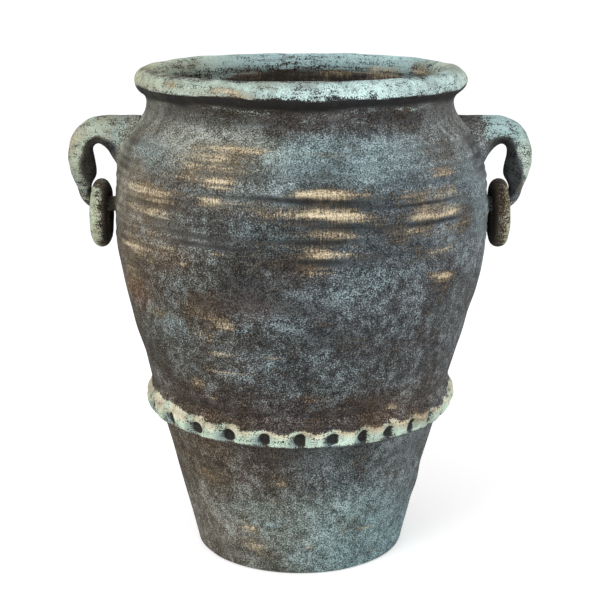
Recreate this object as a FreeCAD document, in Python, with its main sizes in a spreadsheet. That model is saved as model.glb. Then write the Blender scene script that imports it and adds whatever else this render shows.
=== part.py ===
"""Clay planter: a wheel-thrown urn made in sections, with two loop handles and two hanging rings.

Millimetres, +Z up. The origin is the middle of the foot, on the floor. The handles lie along X.
"""
import FreeCAD, Part
import math
import os

import Sketcher
from FreeCAD import Rotation, Vector

# Driving sizes of the thrown pot. A rise is a height above the place below it, and an inset is how far
# the wall stands in from its widest place, at the belly
POT_SIZES = {
    "wall_thickness": 15,
    "floor_thickness": 20,
    "drain_radius": 14,
    "foot_radius": 140.5,
    "foot_round": 5,
    "floor_round": 14,
    "seam_radius": 194,
    "seam_height": 213,
    "key_rise": 6,
    "belly_radius": 247.2,
    "swell_inset": 15.9,
    "swell_rise": 133,
    "swell_curve": 430,
    "belly_rise": 116,
    "belly_curve": 342,
    "shoulder_inset": 4.1,
    "shoulder_rise": 53,
    "shoulder_curve": 130,
    "collar_inset": 31.5,
    "collar_rise": 61.7,
    "throat_inset": 39.4,
    "throat_rise": 9.7,
    "neck_inset": 46.3,
    "neck_rise": 19.6,
    "neck_curve": 31.3,
}

# Driving sizes of the rolled rim, which overhangs the neck, and of the thumb-pressed band, which
# stands proud of the seam, with its heights above and below it
TRIM_SIZES = {
    "rim_overhang": 15.1,
    "rim_rise": 44,
    "roll_radius": 16.8,
    "roll_under_overhang": 7.1,
    "roll_under_curve": 15.5,
    "band_proud": 14.5,
    "band_drop": 4,
    "band_foot_drop": 19,
    "band_foot_curve": 15.5,
    "band_brow_proud": 10.5,
    "band_brow_rise": 10,
    "band_brow_curve": 12,
    "band_top_rise": 25,
    "band_flare_curve": 26,
    "press_count": 28,
    "press_drop": 7,
    "press_half_width": 12,
    "press_half_height": 12,
    "press_half_depth": 12,
    "press_depth": 8,
}

# Driving sizes of one handle and of the ring that hangs on it. The ring's pivot stands off the belly
# and above it, the rod runs out and rises from there, and spread is how much wider than thick the
# flattened rod is, to each side
HANDLE_SIZES = {
    "ring_stand_off": 16.3,
    "ring_pivot_rise": 28,
    "ring_tube_radius": 12,
    "ring_middle_radius": 34.3,
    "ring_clearance": 0.9,
    "limb_half_thickness": 9,
    "limb_spread": 3,
    "rod_half_thickness": 17.7,
    "rod_run": 26.3,
    "arch_rise": 76,
    "heel_gap": 12,
    "heel_half_thickness": 10,
    "heel_sink": 13,
}

# Places that follow from the driving sizes: heights are above the floor, radii and reaches from the axis
PLACES = {
    "swell_radius": "belly_radius - swell_inset",
    "shoulder_radius": "belly_radius - shoulder_inset",
    "collar_radius": "belly_radius - collar_inset",
    "throat_radius": "belly_radius - throat_inset",
    "neck_radius": "belly_radius - neck_inset",
    "swell_height": "seam_height + swell_rise",
    "belly_height": "swell_height + belly_rise",
    "shoulder_height": "belly_height + shoulder_rise",
    "collar_height": "shoulder_height + collar_rise",
    "throat_height": "collar_height + throat_rise",
    "neck_height": "throat_height + neck_rise",
    "rim_radius": "neck_radius + rim_overhang",
    "rim_height": "neck_height + rim_rise",
    "roll_under_radius": "neck_radius + roll_under_overhang",
    "band_radius": "seam_radius + band_proud",
    "band_height": "seam_height - band_drop",
    "band_foot_height": "seam_height - band_foot_drop",
    "band_brow_radius": "seam_radius + band_brow_proud",
    "band_brow_height": "seam_height + band_brow_rise",
    "band_top_height": "seam_height + band_top_rise",
    "press_height": "seam_height - press_drop",
    "ring_reach": "belly_radius + ring_stand_off",
    "ring_pivot_height": "belly_height + ring_pivot_rise",
    "rod_reach": "ring_reach + rod_run",
    "arch_height": "ring_pivot_height + arch_rise",
}

# The presses wander round the band: a steady pitch plus two waves, each a share of a whole turn
PRESS_TURN_SHARE = -0.0193
PRESS_WAVE_SHARES = ((1, 0.01131, 0.2874), (2, 0.00949, 0.3205))

# The pulled rod from its upper root down to the limb. Each row places its middle between the ring's
# pivot (0, 0) and the rod's farthest reach and highest point (1, 1), then gives its thickness and its
# width as shares of the rod's thickness, and how far its outward side leans from straight up, as a
# share of a turn
ROD_SHARES = (
    (-1.77, 0.757, 2.32, 1.80, -0.043),
    (-1.29, 0.819, 2.02, 1.62, -0.047),
    (-0.92, 0.895, 1.63, 1.42, -0.040),
    (-0.55, 0.964, 1.31, 1.27, -0.028),
    (-0.15, 1.003, 1.12, 1.18, -0.004),
    (0.24, 0.997, 1.00, 1.12, 0.038),
    (0.62, 0.914, 0.97, 1.10, 0.090),
    (0.88, 0.790, 0.98, 1.10, 0.153),
    (0.985, 0.546, 1.028, 1.10, 0.243),
    (0.84, 0.322, 1.017, 1.06, 0.282),
    (0.779, 0.189, 0.938, 0.98, 0.264),
    (0.856, 0.097, 0.672, 0.82, 0.256),
)

# Where the limb goes round the ring's crown, from level with the pivot to straight below it,
# as shares of a turn from straight up
LIMB_TURN_SHARES = (0.25, 0.3125, 0.375, 0.4375, 0.5)
HALF_SHARE = 0.5

OVAL_POINTS = 8
XZ_PLANE = "XZ_Plane"
SIDES = {"right": 1, "left": -1}
QUARTER_TURN = 90
FULL_TURN = 360

document = FreeCAD.newDocument("ClayPlanter")
sheet = document.addObject("Spreadsheet::Sheet", "Sizes")


def fill_sheet():
    """Write every driving size and every place into the sheet, under its own name."""
    places = {name: f"={formula}" for name, formula in PLACES.items()}
    row = 0
    for group in (POT_SIZES, TRIM_SIZES, HANDLE_SIZES, places):
        for name, value in group.items():
            row += 1
            sheet.set(f"A{row}", name)
            sheet.set(f"B{row}", str(value))
            sheet.setAlias(f"B{row}", name)
    document.recompute()


def cell(name):
    """Return the expression that reads one size."""
    return f"Sizes.{name}"


def value_of(expression):
    """Return the present value of an expression, in millimetres."""
    return float(sheet.evalExpression(expression.replace("Sizes.", "")))


class Outline:
    """A closed outline in a body's XZ plane, its corners and radii bound to the sheet."""

    def __init__(self, body, name, reach, height):
        self.sketch = body.newObject("Sketcher::SketchObject", name)
        planes = [plane for plane in body.Origin.OriginFeatures if plane.Role == XZ_PLANE]
        self.sketch.AttachmentSupport = (planes[0], "")
        self.sketch.MapMode = "FlatFace"
        self.first = (reach, height)
        self.here = self.first
        self.ends = []

    def point(self, corner):
        """Return a corner, given as two expressions, as a point of the sketch."""
        return Vector(value_of(corner[0]), value_of(corner[1]), 0)

    def bind(self, kind, targets, expression):
        """Add a dimension and bind it to an expression."""
        index = self.sketch.addConstraint(Sketcher.Constraint(kind, *targets, value_of(expression)))
        self.sketch.setExpression(f"Constraints[{index}]", expression)

    def add(self, shape, corner, start_end, stop_end):
        """Add one edge, join it to the edge before and fix where it starts."""
        index = self.sketch.addGeometry(shape, False)
        if self.ends:
            self.sketch.addConstraint(Sketcher.Constraint("Coincident", *self.ends[-1][1], index, start_end))
        self.ends.append(((index, start_end), (index, stop_end)))
        for kind, axis, expression in (("DistanceX", -2, self.here[0]), ("DistanceY", -1, self.here[1])):
            if expression == "0":
                self.sketch.addConstraint(Sketcher.Constraint("PointOnObject", index, start_end, axis))
            else:
                self.bind(kind, (-1, 1, index, start_end), expression)
        self.here = corner
        return index

    def line(self, reach, height):
        """Draw a straight line to the next corner."""
        corner = (reach, height)
        self.add(Part.LineSegment(self.point(self.here), self.point(corner)), corner, 1, 2)

    def arc(self, reach, height, radius, clockwise=False):
        """Draw an arc of under half a turn to the next corner."""
        corner = (reach, height)
        start, stop, size = self.point(self.here), self.point(corner), value_of(radius)
        chord = stop - start
        across = Vector(-chord.y, chord.x, 0).normalize()
        lift = math.sqrt(size ** 2 - (chord.Length / 2) ** 2)
        centre = (start + stop) * HALF_SHARE + across * (-lift if clockwise else lift)
        low, high = (stop, start) if clockwise else (start, stop)
        angles = [math.atan2(end.y - centre.y, end.x - centre.x) for end in (low, high)]
        circle = Part.Circle(centre, Vector(0, 0, 1), size)
        ends = (2, 1) if clockwise else (1, 2)
        index = self.add(Part.ArcOfCircle(circle, *angles), corner, *ends)
        self.bind("Radius", (index,), radius)

    def close(self):
        """Join the last edge to the first corner, with a straight line where they are apart."""
        if (self.point(self.here) - self.point(self.first)).Length > 0:
            self.line(*self.first)
        self.sketch.addConstraint(Sketcher.Constraint("Coincident", *self.ends[-1][1], *self.ends[0][0]))
        return self.sketch


def turned_body(label, outline_of):
    """Make a body by turning an outline once round the pot's axis."""
    body = document.addObject("PartDesign::Body", f"Body_{label}")
    body.Label = label
    sketch = outline_of(body)
    turning = body.newObject("PartDesign::Revolution", f"Turned_{label}")
    turning.Profile = sketch
    turning.ReferenceAxis = (sketch, ["V_Axis"])
    turning.Angle = FULL_TURN
    sketch.Visibility = False
    return body


def inside(expression):
    """Return the inner face's distance from the axis, behind an outer face at the one given."""
    return f"{expression} - {cell('wall_thickness')}"


def mid_wall(expression):
    """Return the middle of the wall, behind an outer face at the distance given."""
    return f"{expression} - {cell('wall_thickness')} * {HALF_SHARE}"


def cone_reach(height):
    """Return the lower cone's outer radius at a height."""
    run = f"({cell('seam_radius')} - {cell('foot_radius')})"
    return f"{cell('foot_radius')} + {run} * ({height}) / {cell('seam_height')}"


def swell_reach(height):
    """Return the wall's outer radius above the seam, where it is still straight."""
    run = f"({cell('swell_radius')} - {cell('seam_radius')})"
    rise = f"({cell('swell_height')} - {cell('seam_height')})"
    return f"{cell('seam_radius')} + {run} * ({height} - {cell('seam_height')}) / {rise}"


def draw_foot(outline):
    """Draw the foot's rounded edge and the cone up to the seam."""
    outline.line(f"{cell('foot_radius')} - {cell('foot_round')}", "0")
    outline.arc(cone_reach(cell("foot_round")), cell("foot_round"), cell("foot_round"))
    outline.line(cell("seam_radius"), cell("seam_height"))


def draw_belly(outline):
    """Draw the outer wall from the seam over the belly and the shoulder to the neck."""
    outline.line(cell("swell_radius"), cell("swell_height"))
    outline.arc(cell("belly_radius"), cell("belly_height"), cell("swell_curve"))
    outline.arc(cell("shoulder_radius"), cell("shoulder_height"), cell("belly_curve"))
    outline.arc(cell("collar_radius"), cell("collar_height"), cell("shoulder_curve"))
    outline.line(cell("throat_radius"), cell("throat_height"))
    outline.arc(cell("neck_radius"), cell("neck_height"), cell("neck_curve"), clockwise=True)


def draw_key(outline, radius, height, inwards):
    """Draw the raised key across the wall, where one section is luted on the next."""
    key = (mid_wall(cell(radius)), f"{cell(height)} + {cell('key_rise')}")
    far = inside(cell(radius)) if inwards else cell(radius)
    outline.line(*key)
    outline.line(far, cell(height))


def base_outline(body):
    """Draw the lower section: floor with its drain hole, foot and cone."""
    outline = Outline(body, "BaseOutline", cell("drain_radius"), "0")
    draw_foot(outline)
    draw_key(outline, "seam_radius", "seam_height", inwards=True)
    corner_height = f"{cell('floor_thickness')} + {cell('floor_round')}"
    corner_reach = inside(cone_reach(corner_height))
    outline.line(corner_reach, corner_height)
    floor_edge = f"{corner_reach} - {cell('floor_round')}"
    outline.arc(floor_edge, cell("floor_thickness"), cell("floor_round"), clockwise=True)
    outline.line(cell("drain_radius"), cell("floor_thickness"))
    return outline.close()


def belly_outline(body):
    """Draw the upper section: belly, shoulder and neck, a wall's thickness deep."""
    outline = Outline(body, "BellyOutline", cell("seam_radius"), cell("seam_height"))
    draw_belly(outline)
    draw_key(outline, "neck_radius", "neck_height", inwards=True)
    outline.arc(inside(cell("throat_radius")), cell("throat_height"), cell("neck_curve"))
    outline.line(inside(cell("collar_radius")), cell("collar_height"))
    outline.arc(inside(cell("shoulder_radius")), cell("shoulder_height"), cell("shoulder_curve"), clockwise=True)
    outline.arc(inside(cell("belly_radius")), cell("belly_height"), cell("belly_curve"), clockwise=True)
    outline.arc(inside(cell("swell_radius")), cell("swell_height"), cell("swell_curve"), clockwise=True)
    outline.line(inside(cell("seam_radius")), cell("seam_height"))
    draw_key(outline, "seam_radius", "seam_height", inwards=False)
    return outline.close()


def rim_outline(body):
    """Draw the rim: a short neck that ends in a round roll of clay."""
    roll_reach = f"({cell('rim_radius')} - {cell('roll_radius')})"
    roll_height = f"({cell('rim_height')} - {cell('roll_radius')})"

    def roll_low(reach):
        """Return the height of the roll's underside at a distance from the axis."""
        return f"{roll_height} - sqrt({cell('roll_radius')} ^ 2 - ({reach} - {roll_reach}) ^ 2)"

    under = cell("roll_under_radius")
    mouth = inside(cell("neck_radius"))
    outline = Outline(body, "RimOutline", cell("neck_radius"), cell("neck_height"))
    outline.arc(under, roll_low(under), cell("roll_under_curve"), clockwise=True)
    outline.arc(roll_reach, cell("rim_height"), cell("roll_radius"))
    outline.arc(mouth, roll_low(mouth), cell("roll_radius"))
    outline.line(mouth, cell("neck_height"))
    draw_key(outline, "neck_radius", "neck_height", inwards=False)
    return outline.close()


def band_outline(body):
    """Draw the applied coil: full at the bottom, flared into the wall at the top."""
    foot, top = cell("band_foot_height"), cell("band_top_height")
    outline = Outline(body, "BandOutline", cone_reach(foot), foot)
    outline.arc(cell("band_radius"), cell("band_height"), cell("band_foot_curve"))
    outline.arc(cell("band_brow_radius"), cell("band_brow_height"), cell("band_brow_curve"))
    outline.arc(swell_reach(top), top, cell("band_flare_curve"), clockwise=True)
    outline.line(cell("seam_radius"), cell("seam_height"))
    return outline.close()


def solid_pot_outline(body):
    """Draw the pot's outer wall, filled to the axis, to cut the handles' roots with."""
    outline = Outline(body, "SolidPotOutline", "0", "0")
    draw_foot(outline)
    draw_belly(outline)
    outline.line("0", cell("neck_height"))
    return outline.close()


def press_azimuth(index, pitch):
    """Return the direction of one press, in degrees from the front towards the right."""
    steady = index * pitch
    azimuth = steady + PRESS_TURN_SHARE * FULL_TURN
    for waves, size_share, phase_share in PRESS_WAVE_SHARES:
        azimuth += size_share * FULL_TURN * math.sin(math.radians(waves * steady + phase_share * FULL_TURN))
    return azimuth


def pressed_band():
    """Press the coil all round with a thumb, and return the band."""
    coil = turned_body("band_coil", band_outline)
    count = int(value_of(cell("press_count")))
    centre = f"({cell('band_radius')} + {cell('press_half_depth')} - {cell('press_depth')})"
    thumbs = []
    for index in range(count):
        azimuth = math.radians(press_azimuth(index, FULL_TURN / count))
        thumb = document.addObject("Part::Ellipsoid", f"Press{index + 1}")
        thumb.setExpression("Radius1", cell("press_half_height"))
        thumb.setExpression("Radius2", cell("press_half_depth"))
        thumb.setExpression("Radius3", cell("press_half_width"))
        thumb.setExpression("Placement.Base.x", f"{centre} * {math.sin(azimuth)}")
        thumb.setExpression("Placement.Base.y", f"{centre} * {-math.cos(azimuth)}")
        thumb.setExpression("Placement.Base.z", cell("press_height"))
        thumb.Placement.Rotation = Rotation(Vector(0, 0, 1), math.degrees(azimuth) - QUARTER_TURN)
        thumbs.append(thumb)
    all_thumbs = document.addObject("Part::Compound", "AllPresses")
    all_thumbs.Links = thumbs
    band = document.addObject("Part::Cut", "ThumbBand")
    band.Base = coil
    band.Tool = all_thumbs
    band.Label = "thumb_band"
    return band


def rod_stations():
    """List the handle's stations from the upper root to the heel: reach, height, half sizes, lean.

    The limb runs round the ring's crown at one distance, so that the ring can swing on it.
    """
    pivot_reach, pivot_height = cell("ring_reach"), cell("ring_pivot_height")
    rod, limb, heel = cell("rod_half_thickness"), cell("limb_half_thickness"), cell("heel_half_thickness")
    limb_width, heel_width = f"{limb} + {cell('limb_spread')}", f"{heel} + {cell('limb_spread')}"
    stations = []
    for across, up, thickness, width, lean in ROD_SHARES:
        stations.append((
            f"{pivot_reach} + ({cell('rod_reach')} - {pivot_reach}) * ({across})",
            f"{pivot_height} + ({cell('arch_height')} - {pivot_height}) * {up}",
            f"{rod} * {thickness}",
            f"{rod} * {width}",
            lean,
        ))
    orbit = f"({cell('ring_tube_radius')} + {cell('ring_clearance')} + {limb})"
    for turn in LIMB_TURN_SHARES:
        angle = turn * FULL_TURN
        stations.append((
            f"{pivot_reach} + {orbit} * {math.sin(math.radians(angle)):.6f}",
            f"{pivot_height} + {orbit} * {math.cos(math.radians(angle)):.6f}",
            limb,
            limb_width,
            turn,
        ))
    heel_reach = f"{pivot_reach} - {cell('heel_gap')}"
    heel_height = f"{pivot_height} - {orbit}"
    for reach in (heel_reach, f"{heel_reach} - {cell('heel_sink')}"):
        stations.append((reach, heel_height, heel, heel_width, LIMB_TURN_SHARES[-1]))
    return stations


def rod_section(reach, height, half_thickness, half_width, lean):
    """Return one oval section of the rod as a closed smooth curve, leant over and in its place."""
    middle = Vector(value_of(reach), 0, value_of(height))
    turn = math.radians(lean * FULL_TURN)
    outward = Vector(math.sin(turn), 0, math.cos(turn)) * value_of(half_thickness)
    sideways = Vector(0, 1, 0) * value_of(half_width)
    points = []
    for index in range(OVAL_POINTS):
        angle = math.radians(index * FULL_TURN / OVAL_POINTS)
        points.append(middle + outward * math.cos(angle) + sideways * math.sin(angle))
    oval = Part.BSplineCurve()
    oval.interpolate(Points=points, PeriodicFlag=True)
    return Part.Wire(oval.toShape())


def right_handle(solid_pot):
    """Pull the right handle through its stations and cut its roots to the wall's surface.

    Its ovals are tall at the root and wide at the limb, so one smooth loft through them makes it.
    """
    rod = document.addObject("Part::Feature", "Rod")
    rod.Shape = Part.makeLoft([rod_section(*station) for station in rod_stations()], True, False)
    trimmed = document.addObject("Part::Cut", "HandleRight")
    trimmed.Base = rod
    trimmed.Tool = solid_pot
    trimmed.Label = "handle_right"
    return trimmed


def left_handle(twin):
    """Mirror the right handle across the pot."""
    mirrored = document.addObject("Part::Mirroring", "HandleLeft")
    mirrored.Source = twin
    mirrored.Normal = Vector(1, 0, 0)
    mirrored.Label = "handle_left"
    return mirrored


def ring(side):
    """Hang one ring from its crown, which rides on the handle's lower limb."""
    hanging = document.addObject("Part::Torus", f"Ring_{side}")
    hanging.Label = f"ring_{side}"
    hanging.setExpression("Radius1", cell("ring_middle_radius"))
    hanging.setExpression("Radius2", cell("ring_tube_radius"))
    hanging.setExpression("Placement.Base.x", f"{cell('ring_reach')} * {SIDES[side]}")
    hanging.setExpression("Placement.Base.z", f"{cell('ring_pivot_height')} - {cell('ring_middle_radius')}")
    hanging.Placement.Rotation = Rotation(Vector(0, 1, 0), QUARTER_TURN)
    return hanging


def build():
    """Build every piece of the planter and return them."""
    fill_sheet()
    solid_pot = turned_body("solid_pot", solid_pot_outline)
    pieces = [
        turned_body("base_section", base_outline),
        turned_body("belly_section", belly_outline),
        turned_body("rim_roll", rim_outline),
        pressed_band(),
    ]
    handle = right_handle(solid_pot)
    pieces += [handle, left_handle(handle)]
    pieces += [ring(side) for side in SIDES]
    document.recompute()
    return pieces


def check(pieces):
    """Stop if an object of the document failed, or a piece isn't one valid solid."""
    for item in document.Objects:
        if "Invalid" in item.State or "Error" in item.State:
            raise RuntimeError(f"{item.Label} failed: {item.State}")
    for piece in pieces:
        shape = piece.Shape
        if shape.isNull() or not shape.isValid() or len(shape.Solids) != 1:
            raise RuntimeError(f"{piece.Label} is not one valid solid")


def write(pieces):
    """Write each piece to its own file."""
    os.makedirs("parts", exist_ok=True)
    for piece in pieces:
        piece.Shape.exportStep(f"parts/{piece.Label}.step")
        print(f"{piece.Label}: {piece.Shape.Volume:.0f} cubic millimetres")


planter = build()
check(planter)
write(planter)
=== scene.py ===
"""Clay planter: the looks of a wheel-thrown garden urn with a weathered, rubbed finish.

Sizes are in millimetres and azimuths in degrees from the front (-Y) towards the right (+X), until a
mesh is made in metres.
"""

import logging
import math
from dataclasses import dataclass, field
from enum import Enum
from typing import ClassVar

import bpy
import numpy as np
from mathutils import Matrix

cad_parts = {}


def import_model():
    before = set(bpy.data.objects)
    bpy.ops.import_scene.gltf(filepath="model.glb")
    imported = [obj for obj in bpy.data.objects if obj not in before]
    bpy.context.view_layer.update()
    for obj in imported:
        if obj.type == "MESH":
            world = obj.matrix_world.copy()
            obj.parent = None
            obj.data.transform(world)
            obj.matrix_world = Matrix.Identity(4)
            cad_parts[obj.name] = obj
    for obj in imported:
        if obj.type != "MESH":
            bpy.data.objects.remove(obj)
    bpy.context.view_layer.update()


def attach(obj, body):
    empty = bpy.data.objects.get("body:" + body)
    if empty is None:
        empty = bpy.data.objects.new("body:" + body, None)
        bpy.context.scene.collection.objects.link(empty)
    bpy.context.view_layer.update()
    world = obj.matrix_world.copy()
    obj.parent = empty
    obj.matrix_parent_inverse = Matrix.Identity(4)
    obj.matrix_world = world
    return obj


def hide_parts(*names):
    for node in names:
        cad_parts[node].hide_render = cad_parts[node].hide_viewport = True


MM = 0.001
FULL_TURN = 360.0
NEARLY_NOTHING = 1e-6
PATCH_FULLNESS = 1.35
# Heights over which a wash goes out, so far above the rim that it never does
ENDLESS = (1000.0, 900.0)
GROUND = "ground"
GLAZE = "glaze"
# Holds ochre, teal and the dark coat, which is partly painted shade
WASHES_AND_SHADE = "washes"
PALENESS = "paleness"
log = logging.getLogger("clay_planter")

Corner = tuple[float, float]
Limits = tuple[float, float]
Shares = tuple[tuple[str, float], ...]


class Side(Enum):
    """The two sides of the pot that carry a handle and a ring."""

    LEFT = -1
    RIGHT = 1

    @property
    def word(self) -> str:
        """The side's name as the frame spells it."""
        return self.name.lower()


class Clay(Enum):
    """The record's two finishes."""

    BODY = "weathered_body"
    TRIM = "verdigris_trim"


def linear(code: str) -> tuple[float, float, float]:
    """Turn an sRGB colour, written as "#rrggbb", into linear red, green and blue from 0 to 1."""
    parts = [int(code[place:place + 2], 16) / 255 for place in (1, 3, 5)]
    return tuple(part / 12.92 if part <= 0.04045 else ((part + 0.055) / 1.055) ** 2.4 for part in parts)


def opaque(code: str) -> tuple[float, float, float, float]:
    """Turn an sRGB hex colour into what a colour socket takes."""
    return (*linear(code), 1)


def plain(code: str, count: int) -> np.ndarray:
    """Return one colour for a number of vertices."""
    return np.tile(np.array(linear(code)), (count, 1))


def smooth_step(low: float, high: float, value: np.ndarray) -> np.ndarray:
    """Ease from 0 at low to 1 at high, where low may also be the larger of the two."""
    share = np.clip((value - low) / (high - low), 0.0, 1.0)
    return share * share * (3.0 - 2.0 * share)


def bell(middle: float, width: float, value: np.ndarray) -> np.ndarray:
    """Return 1 at the middle, falling off evenly to nearly nothing at twice the width."""
    return np.exp(-((value - middle) / width) ** 2)


def blend(least: float, most: float, share: np.ndarray) -> np.ndarray:
    """Return least where the share is 0, most where it is 1, and what lies between elsewhere."""
    return least + (most - least) * share


def turn_between(azimuth: np.ndarray, middle: float) -> np.ndarray:
    """Return the signed turn from a middle azimuth, from -180 to 180 degrees."""
    return (azimuth - middle + 180.0) % FULL_TURN - 180.0


def pick_nothing() -> None:
    """Leave edit mode and deselect every object."""
    if bpy.context.object and bpy.context.object.mode != "OBJECT":
        bpy.ops.object.mode_set(mode="OBJECT")
    bpy.ops.object.select_all(action="DESELECT")


def named(name: str) -> bpy.types.Object:
    """Name the active object and its mesh.

    Args:
        name: the name.

    Returns:
        The object.
    """
    piece = bpy.context.object
    piece.name = name
    piece.data.name = name
    return piece


def points_of(piece: bpy.types.Object) -> np.ndarray:
    """Read where the mesh's vertices are.

    Args:
        piece: the object.

    Returns:
        Their places in millimetres, one row each.
    """
    flat = np.empty(len(piece.data.vertices) * 3)
    piece.data.vertices.foreach_get("co", flat)
    return flat.reshape(-1, 3) / MM


def press_points(piece: bpy.types.Object, points: np.ndarray) -> None:
    """Push the mesh's vertices to new places, as a hand shapes soft clay."""
    piece.data.vertices.foreach_set("co", (points * MM).ravel())
    piece.data.update()


def facing_of(piece: bpy.types.Object) -> np.ndarray:
    """Read which way the mesh faces.

    Args:
        piece: the object.

    Returns:
        The outward direction at each vertex, one row each.
    """
    flat = np.empty(len(piece.data.vertices) * 3)
    piece.data.vertices.foreach_get("normal", flat)
    return flat.reshape(-1, 3)


def azimuth_of(points: np.ndarray) -> np.ndarray:
    """Return each point's azimuth in degrees."""
    return np.degrees(np.arctan2(points[:, 0], -points[:, 1]))


def reach_of(points: np.ndarray) -> np.ndarray:
    """Return each point's distance from the pot's axis."""
    return np.hypot(points[:, 0], points[:, 1])


def push_out(points: np.ndarray, push: np.ndarray) -> None:
    """Move points away from the pot's axis.

    Args:
        points: places in millimetres, which are changed.
        push: how far each one moves.
    """
    reach = reach_of(points)
    scale = (reach + push) / np.maximum(reach, NEARLY_NOTHING)
    points[:, 0] *= scale
    points[:, 1] *= scale


def smooth_faces(piece: bpy.types.Object, crease: float = 40.0) -> None:
    """Shade a piece smooth, with an edge wherever it turns sharply.

    Args:
        piece: the object.
        crease: the turn in degrees past which an edge stays.
    """
    pick_nothing()
    piece.select_set(True)
    bpy.context.view_layer.objects.active = piece
    bpy.ops.object.shade_smooth_by_angle(angle=math.radians(crease))
    piece.select_set(False)


class Profile:
    """The half outline of a turned piece: distance from the axis and height, point by point."""

    SLICES = 20
    POINTS_MEET = 0.05 * MM
    SLICES_MEET = 0.02 * MM

    def __init__(self, reach: float, height: float) -> None:
        """Start the outline at its first corner."""
        self.points = [(reach, height)]

    def line(self, reach: float, height: float, spacing: float = 4.0) -> None:
        """Run straight to the next corner, with points about one spacing apart.

        Args:
            reach: the distance from the axis where it ends.
            height: the height where it ends.
            spacing: how far apart the points are.
        """
        start = self.points[-1]
        count = max(1, round(math.dist(start, (reach, height)) / spacing))
        for step in range(1, count + 1):
            share = step / count
            across = (reach - start[0]) * share
            up = (height - start[1]) * share
            self.points.append((start[0] + across, start[1] + up))

    def arc(self, reach: float, height: float, radius: float, bends: int = 1, spacing: float = 4.0) -> None:
        """Run round an arc of under half a turn.

        Args:
            reach: the distance from the axis where it ends.
            height: the height where it ends.
            radius: the arc's radius.
            bends: 1 where the arc bends to the left of its run, -1 where it bends to the right.
            spacing: how far apart the points are.
        """
        start = self.points[-1]
        chord = math.dist(start, (reach, height))
        lift = math.sqrt(radius ** 2 - (chord / 2) ** 2) * bends
        across = ((start[1] - height) / chord, (reach - start[0]) / chord)
        centre = ((start[0] + reach) / 2 + across[0] * lift, (start[1] + height) / 2 + across[1] * lift)
        first = math.atan2(start[1] - centre[1], start[0] - centre[0])
        turn = 2 * math.asin(chord / 2 / radius) * bends
        count = max(2, round(abs(turn) * radius / spacing))
        for step in range(1, count + 1):
            angle = first + turn * step / count
            across = radius * math.cos(angle)
            up = radius * math.sin(angle)
            self.points.append((centre[0] + across, centre[1] + up))

    def turned(self, name: str, steps: int) -> bpy.types.Object:
        """Extrude the outline point by point, spin it into one slice, and spin copies of that all round.

        Args:
            name: the piece's name.
            steps: how many steps the whole turn has, in whole slices.

        Returns:
            The closed piece, with its faces outwards.
        """
        pick_nothing()
        first = self.points[0]
        bpy.ops.mesh.primitive_plane_add(size=MM, location=(first[0] * MM, 0, first[1] * MM))
        bpy.ops.object.transform_apply(location=True, rotation=False, scale=False)
        bpy.ops.object.mode_set(mode="EDIT")
        bpy.ops.mesh.select_mode(type="VERT")
        bpy.ops.mesh.select_all(action="SELECT")
        bpy.ops.mesh.merge(type="CENTER")
        for here, there in zip(self.points, self.points[1:]):
            step = ((there[0] - here[0]) * MM, 0, (there[1] - here[1]) * MM)
            bpy.ops.mesh.extrude_region_move(TRANSFORM_OT_translate={"value": step})
        bpy.ops.mesh.select_all(action="SELECT")
        bpy.ops.mesh.remove_doubles(threshold=self.POINTS_MEET)
        slice_turn = 2 * math.pi / self.SLICES
        bpy.ops.mesh.spin(steps=steps // self.SLICES, angle=slice_turn, center=(0, 0, 0), axis=(0, 0, 1))
        bpy.ops.mesh.select_all(action="SELECT")
        rest = 2 * math.pi - slice_turn
        bpy.ops.mesh.spin(steps=self.SLICES - 1, angle=rest, dupli=True, center=(0, 0, 0), axis=(0, 0, 1))
        bpy.ops.mesh.select_all(action="SELECT")
        bpy.ops.mesh.remove_doubles(threshold=self.SLICES_MEET)
        bpy.ops.mesh.normals_make_consistent(inside=False)
        bpy.ops.object.mode_set(mode="OBJECT")
        return named(name)


@dataclass(frozen=True)
class Wave:
    """A wave round the pot or along a row of like things: its size, its count and its start."""

    size: float
    count: float
    start: float = 0.0

    def at(self, angle: np.ndarray, place: int = 1) -> np.ndarray:
        """Return its height at an angle in radians, moved on by its start for each place in a row."""
        return self.size * np.sin(self.count * angle + self.start * place)


def added_up(waves: tuple[Wave, ...], angle: np.ndarray, place: int = 1) -> np.ndarray:
    """Return the sum of some waves at an angle in radians."""
    return sum(wave.at(angle, place) for wave in waves)


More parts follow.
